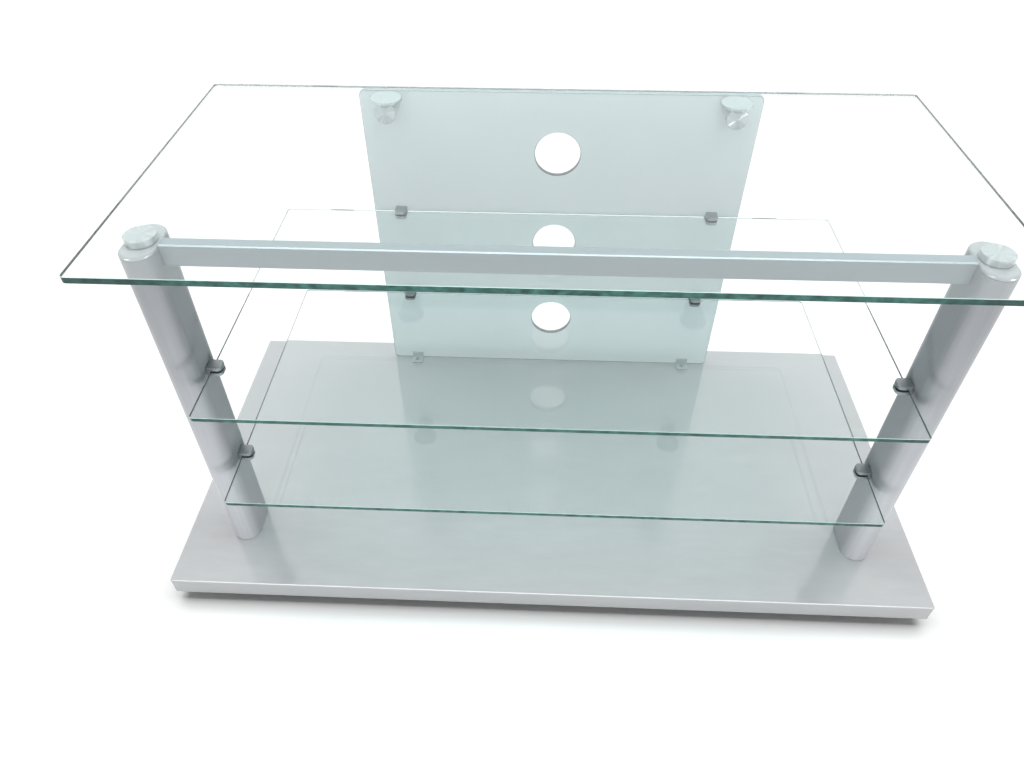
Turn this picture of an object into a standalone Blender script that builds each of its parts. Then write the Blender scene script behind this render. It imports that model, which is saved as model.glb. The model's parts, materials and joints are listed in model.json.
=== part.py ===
"""Open TV stand: a silver board on levelling feet, two oblong posts, glass shelves and a frosted rear panel.

Metres, +Z up. The origin lies on the floor under the middle of the board, and the front faces -Y.
"""

import math

import bmesh
import bpy
from mathutils import Vector

# Clearance between pieces that touch, and the weld distance of closed meshes
GAP = 0.0003
WELD = 0.00001

# Base board
BASE_WIDTH = 1.100
BASE_DEPTH = 0.540
BASE_THICKNESS = 0.030
BASE_EDGE_ROUND = 0.001
BASE_CLEARANCE = 0.020

# Levelling feet and their threaded inserts
FOOT_INSET = 0.060
FOOT_RADIUS = 0.020
FOOT_NECK_RADIUS = 0.013
FOOT_EDGE = 0.0015
FOOT_STEM_RADIUS = 0.004
FOOT_STEM_COVER = 0.007
FOOT_BORE_COVER = 0.005
INSERT_RADIUS = 0.0055
INSERT_COVER = 0.014
INSERT_FLANGE_RADIUS = 0.011
INSERT_FLANGE = 0.002

# Posts, with their bottom plugs and bolts
POST_WIDTH = 0.040
POST_DEPTH = 0.072
POST_LENGTH = 0.502
POST_WALL = 0.0025
POST_INSET = 0.069
POST_SETBACK = 0.075
PLUG_HEIGHT = 0.030
BOLT_RADIUS = 0.004
BOLT_GRIP = 0.022
BOLT_SPACING = 0.036
BOLT_HEAD_RADIUS = 0.0065
BOLT_HEAD = 0.008
BOLT_SOCKET_RADIUS = 0.0035
BOLT_SOCKET = 0.004
BOLT_RECESS = 0.009

# Post caps, pucks under the top glass, and the studs between them
CAP_HEIGHT = 0.0045
CAP_ROUND = 0.0035
CAP_SPIGOT = 0.024
PUCK_RADIUS = 0.018
PUCK_HEIGHT = 0.0085
SOFT_EDGE = 0.0008
PUCK_SETBACK = 0.035
STUD_RADIUS = 0.003
STUD_IN_PUCK = 0.0055
STUD_IN_CAP = 0.009

# Crossbar
BAR_DEPTH = 0.016
BAR_HEIGHT = 0.028
BAR_WALL = 0.0015
BAR_ROUND = 0.002
BAR_PLUG_LENGTH = 0.030
BAR_STUD_RADIUS = 0.003
BAR_STUD_IN_PLUG = 0.020
BAR_STUD_IN_CAP = 0.009

# Glass top and shelves
TOP_WIDTH = 1.017
TOP_DEPTH = 0.487
TOP_THICKNESS = 0.008
SHELF_THICKNESS = 0.006
SHELF_SETBACK = 0.001
SHELF_PLAY = 0.0005
LOWER_SHELF_RISE = 0.160
UPPER_SHELF_RISE = 0.322
GLASS_CORNER = 0.006
GLASS_ARRIS = 0.0007

# Frosted rear panel
PANEL_WIDTH = 0.588
PANEL_THICKNESS = 0.008
PANEL_SETBACK = 0.031
PANEL_CORNER = 0.009
CABLE_HOLE_RADIUS = 0.035
LOWER_HOLE_RISE = 0.102
SHELF_HOLE_RISE = 0.099

# Round-nosed shelf clips and their screws
CLIP_LENGTH = 0.019
CLIP_WIDTH = 0.018
CLIP_NOSE = 0.0055
CLIP_JAW = 0.005
CLIP_BACK = 0.0045
CLIP_EDGE = 0.0008
POST_CLIP_SETBACK = 0.039
PANEL_CLIP_INSET = 0.044
CLIP_SCREW_RADIUS = 0.00175
CLIP_SCREW_HEAD_RADIUS = 0.0027
CLIP_SCREW_HEAD = 0.0015
CLIP_SCREW_LENGTH = 0.012
PANEL_SCREW_RADIUS = 0.002
PANEL_SCREW_HEAD_RADIUS = 0.007
PANEL_SCREW_HEAD = 0.0025

# Brackets between the rear panel and the top glass
BRACKET_PLATE_RADIUS = 0.023
BRACKET_PLATE = 0.004
BRACKET_DROP = 0.0165
BRACKET_NECK_RADIUS = 0.012
BRACKET_BOSS_RADIUS = 0.0155
BRACKET_REACH = 0.043
BRACKET_EDGE = 0.001
BRACKET_BOLT_RADIUS = 0.003
BRACKET_BOLT_GRIP = 0.016
BRACKET_BOLT_HEAD_RADIUS = 0.009
BRACKET_BOLT_HEAD = 0.003

# Angles that hold the foot of the rear panel
ANGLE_WIDTH = 0.020
ANGLE_LEG = 0.018
ANGLE_HEIGHT = 0.012
ANGLE_SHEET = 0.002
ANGLE_SCREW_RADIUS = 0.0018
ANGLE_SCREW_LENGTH = 0.014
ANGLE_SCREW_HEAD_RADIUS = 0.0035
ANGLE_SCREW_HEAD = 0.0018

# Faceting: points on a half circle, steps of a turned piece, and sides of a drilled hole
ARC_STEPS = 10
CORNER_STEPS = 3
NOSE_STEPS = 5
TURN_STEPS = 24
SMALL_STEPS = 12
HOLE_SIDES = 16
CABLE_HOLE_SIDES = 32
SHOULDER_STEPS = 3
FLAT_ANGLE = math.radians(1)
SHADE_ANGLE = math.radians(35)
CUTTER_OVERRUN = 0.002

# Places that follow from the sizes
BASE_BOTTOM = BASE_CLEARANCE
BASE_TOP = BASE_BOTTOM + BASE_THICKNESS
POST_X = BASE_WIDTH / 2 - POST_INSET - POST_WIDTH / 2
POST_INNER_X = POST_X - POST_WIDTH / 2
POST_FRONT_Y = POST_SETBACK - BASE_DEPTH / 2
POST_Y = POST_FRONT_Y + POST_DEPTH / 2
POST_BOTTOM = BASE_TOP + GAP
POST_TOP = POST_BOTTOM + POST_LENGTH
CAP_BOTTOM = POST_TOP + GAP
CAP_TOP = CAP_BOTTOM + CAP_HEIGHT
PUCK_Y = POST_FRONT_Y + PUCK_SETBACK
PUCK_BOTTOM = CAP_TOP + GAP
PUCK_TOP = PUCK_BOTTOM + PUCK_HEIGHT
BAR_Z = CAP_TOP - BAR_HEIGHT / 2
BAR_END_X = POST_INNER_X - GAP
TOP_BOTTOM = PUCK_TOP + GAP
PANEL_REAR_Y = BASE_DEPTH / 2 - PANEL_SETBACK
PANEL_FRONT_Y = PANEL_REAR_Y - PANEL_THICKNESS
PANEL_BOTTOM = BASE_TOP + GAP
PANEL_TOP = TOP_BOTTOM - GAP
PANEL_CLIP_X = PANEL_WIDTH / 2 - PANEL_CLIP_INSET
TOP_FRONT_Y = PANEL_REAR_Y - TOP_DEPTH
SHELF_FRONT_Y = TOP_FRONT_Y + SHELF_SETBACK
SHELF_REAR_Y = PANEL_FRONT_Y - GAP - CLIP_BACK - SHELF_PLAY
SHELF_WIDTH = 2 * (POST_INNER_X - GAP - CLIP_BACK - SHELF_PLAY)
POST_CLIP_Y = POST_FRONT_Y + POST_CLIP_SETBACK
BRACKET_Z = TOP_BOTTOM - BRACKET_DROP
SIDES = {"left": -1, "right": 1}
SHELF_TOPS = {"lower": BASE_TOP + LOWER_SHELF_RISE, "upper": BASE_TOP + UPPER_SHELF_RISE}
CABLE_HOLES = (
    BASE_TOP + LOWER_HOLE_RISE,
    SHELF_TOPS["lower"] + SHELF_HOLE_RISE,
    SHELF_TOPS["upper"] + SHELF_HOLE_RISE,
)


def clear_scene():
    """Remove what the start-up file holds."""
    for obj in list(bpy.data.objects):
        bpy.data.objects.remove(obj)


def new_collection(name):
    """Collection linked to the scene."""
    collection = bpy.data.collections.new(name)
    bpy.context.scene.collection.children.link(collection)
    return collection


def new_finish(name, colour, roughness, metallic, transmission=0.0):
    """Principled material of one finish."""
    material = bpy.data.materials.new(name)
    material.use_nodes = True
    shader = material.node_tree.nodes["Principled BSDF"]
    shader.inputs["Base Color"].default_value = (*colour, 1.0)
    shader.inputs["Roughness"].default_value = roughness
    shader.inputs["Metallic"].default_value = metallic
    shader.inputs["Transmission Weight"].default_value = transmission
    return material


clear_scene()
PARTS = new_collection("tv_stand")
CUTTERS = new_collection("cutters")
STAND = bpy.data.objects.new("stand_on_floor", None)
PARTS.objects.link(STAND)

SILVER_BOARD = new_finish("silver_board", (0.60, 0.61, 0.63), 0.28, 0.85)
SATIN_ALUMINIUM = new_finish("satin_aluminium", (0.52, 0.54, 0.56), 0.32, 1.0)
SPUN_ALUMINIUM = new_finish("spun_aluminium", (0.78, 0.79, 0.80), 0.22, 1.0)
CLIP_METAL = new_finish("clip_metal", (0.42, 0.44, 0.45), 0.30, 1.0)
CLEAR_GLASS = new_finish("clear_glass", (0.93, 0.97, 0.96), 0.02, 0.0, 1.0)
FROSTED_GLASS = new_finish("frosted_glass", (0.70, 0.80, 0.80), 0.55, 0.0, 0.4)
ZINC_STEEL = new_finish("zinc_steel", (0.55, 0.56, 0.58), 0.35, 1.0)
FOOT_PLASTIC = new_finish("foot_plastic", (0.03, 0.03, 0.03), 0.55, 0.0)


def add_part(name, mesh, finish, location=(0, 0, 0), rotation=(0, 0, 0)):
    """Named sub-part made from a mesh, standing on the common origin."""
    if finish.name not in mesh.materials:
        mesh.materials.append(finish)
    obj = bpy.data.objects.new(name, mesh)
    obj.location = location
    obj.rotation_euler = rotation
    obj.parent = STAND
    PARTS.objects.link(obj)
    return obj


def as_cutter(obj):
    """Keep an object as a cutting tool only."""
    for collection in obj.users_collection:
        collection.objects.unlink(obj)
    CUTTERS.objects.link(obj)
    obj.hide_render = True
    obj.display_type = "WIRE"
    return obj


def mesh_from(name, form):
    """Mesh of a finished bmesh, shaded smooth but for its sharp edges."""
    bmesh.ops.recalc_face_normals(form, faces=form.faces)
    mesh = bpy.data.meshes.new(name)
    form.to_mesh(mesh)
    form.free()
    mesh.shade_smooth()
    mesh.set_sharp_from_angle(angle=SHADE_ANGLE)
    return mesh


def box_mesh(name, size):
    """Block centred on its origin."""
    form = bmesh.new()
    bmesh.ops.create_cube(form, size=1.0)
    bmesh.ops.scale(form, vec=Vector(size), verts=form.verts)
    return mesh_from(name, form)


def flat_mesh(name, outlines, thickness):
    """Plate centred on its own plane. The outlines after the first are holes through it."""
    curve = bpy.data.curves.new(name, "CURVE")
    curve.dimensions = "2D"
    curve.fill_mode = "BOTH"
    curve.extrude = thickness / 2
    for outline in outlines:
        spline = curve.splines.new("POLY")
        spline.points.add(len(outline) - 1)
        for point, (x, y) in zip(spline.points, outline):
            point.co = (x, y, 0.0, 1.0)
        spline.use_cyclic_u = True
    guide = bpy.data.objects.new(name, curve)
    bpy.context.scene.collection.objects.link(guide)
    graph = bpy.context.evaluated_depsgraph_get()
    filled = bpy.data.meshes.new_from_object(guide.evaluated_get(graph))
    bpy.data.objects.remove(guide)
    bpy.data.curves.remove(curve)
    form = bmesh.new()
    form.from_mesh(filled)
    bpy.data.meshes.remove(filled)
    bmesh.ops.remove_doubles(form, verts=form.verts, dist=WELD)
    bmesh.ops.dissolve_limit(form, angle_limit=FLAT_ANGLE, verts=form.verts, edges=form.edges)
    return mesh_from(name, form)


def round_rim(mesh, height, radius, segments):
    """Round the rim of a plate at the given height in its own frame."""
    form = bmesh.new()
    form.from_mesh(mesh)
    rim = [
        edge
        for edge in form.edges
        if all(abs(corner.co.z - height) < WELD for corner in edge.verts)
    ]
    bmesh.ops.bevel(
        form, geom=rim, offset=radius, segments=segments, profile=0.5, affect="EDGES", material=-1
    )
    form.to_mesh(mesh)
    form.free()
    mesh.shade_smooth()
    mesh.set_sharp_from_angle(angle=SHADE_ANGLE)


def profile_mesh(name, profile, closed):
    """Open or closed wire of (radius, height) points in the XZ plane."""
    form = bmesh.new()
    corners = [form.verts.new((radius, 0.0, height)) for radius, height in profile]
    for first, second in zip(corners, corners[1:]):
        form.edges.new((first, second))
    if closed:
        form.edges.new((corners[-1], corners[0]))
    mesh = bpy.data.meshes.new(name)
    form.to_mesh(mesh)
    form.free()
    return mesh


def turn(obj, steps):
    """Spin an object's profile about its own Z axis."""
    screw = obj.modifiers.new("turn", "SCREW")
    screw.steps = steps
    screw.render_steps = steps
    screw.use_merge_vertices = True
    screw.merge_threshold = WELD
    return obj


def add_turned(name, profile, finish, location, rotation=(0, 0, 0), steps=TURN_STEPS, closed=False):
    """Turned sub-part: its profile runs down the outer side, top to bottom."""
    obj = add_part(name, profile_mesh(name, profile, closed), finish, location, rotation)
    return turn(obj, steps)


def round_edges(obj, width, segments):
    """Round or chamfer the sharp edges of a part."""
    bevel = obj.modifiers.new("edges", "BEVEL")
    bevel.width = width
    bevel.segments = segments
    bevel.limit_method = "ANGLE"
    bevel.angle_limit = math.radians(60)
    return obj


def combine(obj, other, operation):
    """Boolean of a part with another mesh object."""
    boolean = obj.modifiers.new(other.name, "BOOLEAN")
    boolean.operation = operation
    boolean.object = other


def drill(obj, start, end, radius, sides=HOLE_SIDES):
    """Drill a round hole between two points."""
    start = Vector(start)
    end = Vector(end)
    form = bmesh.new()
    bmesh.ops.create_cone(
        form,
        cap_ends=True,
        segments=sides,
        radius1=radius,
        radius2=radius,
        depth=(end - start).length,
    )
    cutter = bpy.data.objects.new(obj.name + "_drill", mesh_from(obj.name + "_drill", form))
    cutter.location = (start + end) / 2
    cutter.rotation_euler = (end - start).to_track_quat("Z", "Y").to_euler()
    combine(obj, as_cutter(cutter), "DIFFERENCE")


def baked_mesh(obj):
    """Mesh of a pattern piece with its modifiers applied; the pattern and its tools are removed."""
    bpy.context.view_layer.update()
    graph = bpy.context.evaluated_depsgraph_get()
    mesh = bpy.data.meshes.new_from_object(obj.evaluated_get(graph))
    tools = [step.object for step in obj.modifiers if step.type == "BOOLEAN"]
    for tool in tools + [obj]:
        bpy.data.objects.remove(tool)
    mesh.shade_smooth()
    mesh.set_sharp_from_angle(angle=SHADE_ANGLE)
    return mesh


def arc(centre, radius, start, sweep, steps):
    """Points of an arc, both ends included."""
    angles = [start + sweep * step / steps for step in range(steps + 1)]
    return [
        (centre[0] + radius * math.cos(angle), centre[1] + radius * math.sin(angle))
        for angle in angles
    ]


def circle(centre, radius, steps):
    """Points of a full circle, each once."""
    return arc(centre, radius, 0.0, 2 * math.pi, steps)[:-1]


def oblong(width, depth):
    """Outline with half-round ends at the front and the back."""
    radius = width / 2
    straight = depth / 2 - radius
    rear = arc((0.0, straight), radius, 0.0, math.pi, ARC_STEPS)
    front = arc((0.0, -straight), radius, math.pi, math.pi, ARC_STEPS)
    return rear + front


def rounded_rectangle(width, depth, radius, centre_y=0.0):
    """Rectangle with round corners, centred on X."""
    points = []
    for quarter, (sign_x, sign_y) in enumerate(((1, 1), (-1, 1), (-1, -1), (1, -1))):
        corner = (sign_x * (width / 2 - radius), centre_y + sign_y * (depth / 2 - radius))
        points += arc(corner, radius, quarter * math.pi / 2, math.pi / 2, CORNER_STEPS)
    return points


def headed_profile(radius, length, head_radius, head, edge, socket_radius=0.0, socket=0.0):
    """Screw or bolt with its head at the bottom and its shank pointing up."""
    top = head + length
    profile = [
        (0.0, top),
        (radius - edge, top),
        (radius, top - edge),
        (radius, head),
        (head_radius - edge, head),
        (head_radius, head - edge),
        (head_radius, edge),
        (head_radius - edge, 0.0),
    ]
    if socket:
        return profile + [(socket_radius, 0.0), (socket_radius, socket), (0.0, socket)]
    return profile + [(0.0, 0.0)]


def stud_profile(radius, length, edge):
    """Plain stud with chamfered ends, centred on its origin."""
    half = length / 2
    return [
        (0.0, half),
        (radius - edge, half),
        (radius, half - edge),
        (radius, edge - half),
        (radius - edge, -half),
        (0.0, -half),
    ]


def foot_places():
    """Name and place of each foot's axis."""
    x = BASE_WIDTH / 2 - FOOT_INSET
    y = BASE_DEPTH / 2 - FOOT_INSET
    return {
        row + "_" + side: (sign * x, row_sign * y)
        for row, row_sign in (("front", -1), ("rear", 1))
        for side, sign in SIDES.items()
    }


def post_bolt_places():
    """Name and place of each bolt that holds a post."""
    return {
        side + "_post_bolt_" + row: (sign * POST_X, POST_Y + row_sign * BOLT_SPACING / 2)
        for side, sign in SIDES.items()
        for row, row_sign in (("front", -1), ("rear", 1))
    }


def angle_screw_y():
    """Place of the angle screws, in the middle of the free part of the leg."""
    return PANEL_FRONT_Y - GAP - (ANGLE_LEG + ANGLE_SHEET) / 2


def build_base_board():
    """Silver board with bores for the feet, the post bolts and the angle screws."""
    mesh = box_mesh("base_board", (BASE_WIDTH, BASE_DEPTH, BASE_THICKNESS))
    board = add_part("base_board", mesh, SILVER_BOARD, (0, 0, BASE_BOTTOM + BASE_THICKNESS / 2))
    round_edges(board, BASE_EDGE_ROUND, 2)
    below = BASE_BOTTOM - CUTTER_OVERRUN
    above = BASE_TOP + CUTTER_OVERRUN
    for x, y in foot_places().values():
        drill(board, (x, y, below), (x, y, BASE_TOP - FOOT_BORE_COVER), INSERT_RADIUS + GAP)
    for x, y in post_bolt_places().values():
        seat = BASE_BOTTOM + BOLT_RECESS
        drill(board, (x, y, below), (x, y, seat), BOLT_HEAD_RADIUS + GAP)
        drill(board, (x, y, seat - CUTTER_OVERRUN), (x, y, above), BOLT_RADIUS + GAP)
    for sign in SIDES.values():
        x = sign * PANEL_CLIP_X
        y = angle_screw_y()
        depth = BASE_TOP + GAP + ANGLE_SHEET - ANGLE_SCREW_LENGTH - GAP
        drill(board, (x, y, depth), (x, y, above), ANGLE_SCREW_RADIUS + GAP, SMALL_STEPS)


def build_feet():
    """Screw-in levelling feet, each in a flanged threaded insert."""
    flange_top = BASE_BOTTOM - GAP
    flange_bottom = flange_top - INSERT_FLANGE
    barrel_top = BASE_TOP - INSERT_COVER
    bore = FOOT_STEM_RADIUS + GAP
    pad_top = flange_bottom - GAP
    stem_top = BASE_TOP - FOOT_STEM_COVER
    insert = [
        (bore, barrel_top),
        (INSERT_RADIUS, barrel_top),
        (INSERT_RADIUS, flange_top),
        (INSERT_FLANGE_RADIUS, flange_top),
        (INSERT_FLANGE_RADIUS, flange_bottom),
        (bore, flange_bottom),
    ]
    foot = [
        (0.0, stem_top),
        (FOOT_STEM_RADIUS - FOOT_EDGE / 2, stem_top),
        (FOOT_STEM_RADIUS, stem_top - FOOT_EDGE / 2),
        (FOOT_STEM_RADIUS, pad_top),
        (FOOT_NECK_RADIUS, pad_top),
        (FOOT_NECK_RADIUS, pad_top - FOOT_EDGE),
        (FOOT_RADIUS, pad_top / 2),
        (FOOT_RADIUS, FOOT_EDGE),
        (FOOT_RADIUS - FOOT_EDGE, 0.0),
        (0.0, 0.0),
    ]
    for place, (x, y) in foot_places().items():
        add_turned(
            "foot_insert_" + place, insert, ZINC_STEEL, (x, y, 0), steps=HOLE_SIDES, closed=True
        )
        add_turned("foot_" + place, foot, FOOT_PLASTIC, (x, y, 0))


def build_post(side, sign):
    """Hollow oblong post, drilled in its inner wall for the clip screws and the crossbar stud."""
    walls = 2 * POST_WALL
    outlines = (oblong(POST_WIDTH, POST_DEPTH), oblong(POST_WIDTH - walls, POST_DEPTH - walls))
    name = side + "_post"
    place = (sign * POST_X, POST_Y, POST_BOTTOM + POST_LENGTH / 2)
    post = add_part(name, flat_mesh(name, outlines, POST_LENGTH), SATIN_ALUMINIUM, place)
    face = sign * (POST_INNER_X - CUTTER_OVERRUN)
    inside = sign * (POST_INNER_X + POST_WALL + CUTTER_OVERRUN)
    for top in SHELF_TOPS.values():
        z = top - SHELF_THICKNESS / 2
        radius = CLIP_SCREW_RADIUS + GAP
        drill(post, (face, POST_CLIP_Y, z), (inside, POST_CLIP_Y, z), radius, SMALL_STEPS)
    drill(post, (face, PUCK_Y, BAR_Z), (inside, PUCK_Y, BAR_Z), BAR_STUD_RADIUS + GAP)


def build_post_plug(side, sign):
    """Plug in the foot of a post, with blind holes for its two bolts."""
    inset = 2 * (POST_WALL + GAP)
    name = side + "_post_plug"
    outline = oblong(POST_WIDTH - inset, POST_DEPTH - inset)
    place = (sign * POST_X, POST_Y, POST_BOTTOM + PLUG_HEIGHT / 2)
    plug = add_part(name, flat_mesh(name, (outline,), PLUG_HEIGHT), ZINC_STEEL, place)
    for bolt, (x, y) in post_bolt_places().items():
        if bolt.startswith(side):
            end = BASE_TOP + BOLT_GRIP + GAP
            drill(plug, (x, y, POST_BOTTOM - CUTTER_OVERRUN), (x, y, end), BOLT_RADIUS + GAP)


def build_post_bolts():
    """Socket head bolts, sunk in the board from below."""
    head_bottom = BASE_BOTTOM + BOLT_RECESS - GAP - BOLT_HEAD
    length = BASE_TOP + BOLT_GRIP - head_bottom - BOLT_HEAD
    profile = headed_profile(
        BOLT_RADIUS,
        length,
        BOLT_HEAD_RADIUS,
        BOLT_HEAD,
        SOFT_EDGE,
        BOLT_SOCKET_RADIUS,
        BOLT_SOCKET,
    )
    for name, (x, y) in post_bolt_places().items():
        add_turned(name, profile, ZINC_STEEL, (x, y, head_bottom), steps=HOLE_SIDES)


def build_post_cap(side, sign):
    """Cap with a rounded shoulder and a spigot that fills the mouth of the post."""
    name = side + "_post_cap"
    plate = flat_mesh(name, (oblong(POST_WIDTH, POST_DEPTH),), CAP_HEIGHT)
    shoulder = min(CAP_ROUND, 0.9 * CAP_HEIGHT)
    round_rim(plate, CAP_HEIGHT / 2, shoulder, SHOULDER_STEPS)
    place = (sign * POST_X, POST_Y, CAP_BOTTOM + CAP_HEIGHT / 2)
    cap = add_part(name, plate, SATIN_ALUMINIUM, place)
    inset = 2 * (POST_WALL + GAP)
    outline = oblong(POST_WIDTH - inset, POST_DEPTH - inset)
    height = CAP_SPIGOT + CAP_HEIGHT / 2
    spigot = bpy.data.objects.new(name + "_spigot", flat_mesh(name, (outline,), height))
    spigot.location = (sign * POST_X, POST_Y, CAP_BOTTOM - CAP_SPIGOT + height / 2)
    combine(cap, as_cutter(spigot), "UNION")
    hole_end = CAP_TOP - STUD_IN_CAP - GAP
    above = CAP_TOP + CUTTER_OVERRUN
    x = sign * POST_X
    drill(cap, (x, PUCK_Y, hole_end), (x, PUCK_Y, above), STUD_RADIUS + GAP)
    face = sign * (POST_INNER_X + POST_WALL - CUTTER_OVERRUN)
    end = sign * (POST_INNER_X + POST_WALL + BAR_STUD_IN_CAP + 2 * GAP)
    drill(cap, (face, PUCK_Y, BAR_Z), (end, PUCK_Y, BAR_Z), BAR_STUD_RADIUS + GAP)


def build_puck(side, sign):
    """Turned puck that carries the top glass, and the stud that holds it on the cap."""
    bore = STUD_RADIUS + GAP
    bore_end = STUD_IN_PUCK + GAP
    profile = [
        (0.0, PUCK_HEIGHT),
        (PUCK_RADIUS - SOFT_EDGE, PUCK_HEIGHT),
        (PUCK_RADIUS, PUCK_HEIGHT - SOFT_EDGE),
        (PUCK_RADIUS, SOFT_EDGE),
        (PUCK_RADIUS - SOFT_EDGE, 0.0),
        (bore, 0.0),
        (bore, bore_end),
        (0.0, bore_end),
    ]
    x = sign * POST_X
    add_turned(side + "_puck", profile, SPUN_ALUMINIUM, (x, PUCK_Y, PUCK_BOTTOM))
    stud_bottom = CAP_TOP - STUD_IN_CAP
    stud_top = PUCK_BOTTOM + STUD_IN_PUCK
    stud = stud_profile(STUD_RADIUS, stud_top - stud_bottom, SOFT_EDGE)
    middle = (x, PUCK_Y, (stud_bottom + stud_top) / 2)
    add_turned(side + "_puck_stud", stud, ZINC_STEEL, middle, steps=SMALL_STEPS)


def build_crossbar():
    """Rectangular tube between the posts."""
    walls = 2 * BAR_WALL
    inner_round = max(BAR_ROUND - BAR_WALL, BAR_ROUND / 4)
    outlines = (
        rounded_rectangle(BAR_DEPTH, BAR_HEIGHT, BAR_ROUND),
        rounded_rectangle(BAR_DEPTH - walls, BAR_HEIGHT - walls, inner_round),
    )
    mesh = flat_mesh("crossbar", outlines, 2 * BAR_END_X)
    add_part("crossbar", mesh, SATIN_ALUMINIUM, (0, PUCK_Y, BAR_Z), (math.pi / 2, 0, math.pi / 2))


def build_crossbar_end(side, sign):
    """Plug in one end of the crossbar, and the stud that ties it to the post's cap."""
    inset = 2 * (BAR_WALL + GAP)
    inner_round = max(BAR_ROUND - BAR_WALL, BAR_ROUND / 4)
    outline = rounded_rectangle(BAR_DEPTH - inset, BAR_HEIGHT - inset, inner_round)
    name = "crossbar_plug_" + side
    mesh = flat_mesh(name, (outline,), BAR_PLUG_LENGTH)
    place = (sign * (BAR_END_X - BAR_PLUG_LENGTH / 2), PUCK_Y, BAR_Z)
    plug = add_part(name, mesh, ZINC_STEEL, place, (math.pi / 2, 0, math.pi / 2))
    stud_inner = BAR_END_X - BAR_STUD_IN_PLUG
    stud_outer = POST_INNER_X + POST_WALL + BAR_STUD_IN_CAP
    hole_end = (sign * (stud_inner - GAP), PUCK_Y, BAR_Z)
    mouth = (sign * (BAR_END_X + CUTTER_OVERRUN), PUCK_Y, BAR_Z)
    drill(plug, hole_end, mouth, BAR_STUD_RADIUS + GAP)
    stud = stud_profile(BAR_STUD_RADIUS, stud_outer - stud_inner, SOFT_EDGE)
    middle = (sign * (stud_inner + stud_outer) / 2, PUCK_Y, BAR_Z)
    add_turned(
        "crossbar_stud_" + side, stud, ZINC_STEEL, middle, (0, math.pi / 2, 0), steps=SMALL_STEPS
    )


def build_glass_plate(name, width, front, rear, top, thickness):
    """Clear glass plate with small round corners and arrissed edges."""
    outline = rounded_rectangle(width, rear - front, GLASS_CORNER)
    mesh = flat_mesh(name, (outline,), thickness)
    place = (0, (front + rear) / 2, top - thickness / 2)
    round_edges(add_part(name, mesh, CLEAR_GLASS, place), GLASS_ARRIS, 1)


def build_rear_panel():
    """Frosted panel with three cable holes and the screw holes of its clips and brackets."""
    height = PANEL_TOP - PANEL_BOTTOM
    middle = (PANEL_TOP + PANEL_BOTTOM) / 2
    outlines = [rounded_rectangle(PANEL_WIDTH, height, PANEL_CORNER)]
    for z in CABLE_HOLES:
        outlines.append(circle((0.0, z - middle), CABLE_HOLE_RADIUS, CABLE_HOLE_SIDES))
    for sign in SIDES.values():
        x = sign * PANEL_CLIP_X
        for top in SHELF_TOPS.values():
            z = top - SHELF_THICKNESS / 2 - middle
            outlines.append(circle((x, z), PANEL_SCREW_RADIUS + GAP, SMALL_STEPS))
        outlines.append(circle((x, BRACKET_Z - middle), BRACKET_BOLT_RADIUS + GAP, HOLE_SIDES))
    mesh = flat_mesh("rear_panel", outlines, PANEL_THICKNESS)
    place = (0, (PANEL_FRONT_Y + PANEL_REAR_Y) / 2, middle)
    add_part("rear_panel", mesh, FROSTED_GLASS, place, (math.pi / 2, 0, 0))


def countersunk_profile(grow, overrun):
    """Countersunk clip screw, head down; grown and lengthened it is the shape of its hole."""
    return [
        (0.0, CLIP_SCREW_LENGTH + overrun),
        (CLIP_SCREW_RADIUS + grow, CLIP_SCREW_LENGTH + overrun),
        (CLIP_SCREW_RADIUS + grow, CLIP_SCREW_HEAD),
        (CLIP_SCREW_HEAD_RADIUS + grow, 0.0),
        (CLIP_SCREW_HEAD_RADIUS + grow, -overrun - grow),
        (0.0, -overrun - grow),
    ]


def clip_pattern():
    """Round-nosed clip on its back face, pointing along +X, with the slot for the shelf."""
    half = CLIP_WIDTH / 2
    corner = min(CLIP_NOSE, 0.9 * half)
    quarter = math.pi / 2
    right = arc((CLIP_LENGTH - corner, corner - half), corner, -quarter, quarter, NOSE_STEPS)
    left = arc((CLIP_LENGTH - corner, half - corner), corner, 0.0, quarter, NOSE_STEPS)
    outline = [(0.0, -half)] + right + left + [(0.0, half)]
    slot = SHELF_THICKNESS + 2 * GAP
    clip = add_part("clip", flat_mesh("clip", (outline,), 2 * CLIP_JAW + slot), CLIP_METAL)
    round_edges(clip, CLIP_EDGE, 1)
    reach = CLIP_LENGTH - CLIP_BACK + CUTTER_OVERRUN
    saw = bpy.data.objects.new("clip_slot", box_mesh("clip_slot", (reach, 2 * CLIP_WIDTH, slot)))
    saw.location = (CLIP_BACK + reach / 2, 0, 0)
    combine(clip, as_cutter(saw), "DIFFERENCE")
    return clip


def build_post_clips():
    """Clips on the inner faces of the posts, with their countersunk screws."""
    pattern = clip_pattern()
    hole = countersunk_profile(GAP, CUTTER_OVERRUN)
    drill_bit = bpy.data.objects.new("clip_countersink", profile_mesh("clip_countersink", hole, False))
    drill_bit.location = (CLIP_BACK - GAP, 0, 0)
    drill_bit.rotation_euler = (0, -math.pi / 2, 0)
    combine(pattern, as_cutter(turn(drill_bit, SMALL_STEPS)), "DIFFERENCE")
    mesh = baked_mesh(pattern)
    screw = countersunk_profile(0.0, 0.0)[:4] + [(0.0, 0.0)]
    for level, top in SHELF_TOPS.items():
        z = top - SHELF_THICKNESS / 2
        for side, sign in SIDES.items():
            place = level + "_" + side
            face = (sign * (POST_INNER_X - GAP), POST_CLIP_Y, z)
            facing = 0.0 if sign < 0 else math.pi
            add_part("post_clip_" + place, mesh, CLIP_METAL, face, (0, 0, facing))
            head = (sign * (POST_INNER_X - CLIP_BACK), POST_CLIP_Y, z)
            turned = (0, sign * math.pi / 2, 0)
            add_turned(
                "post_clip_screw_" + place, screw, ZINC_STEEL, head, turned, steps=SMALL_STEPS
            )


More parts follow.
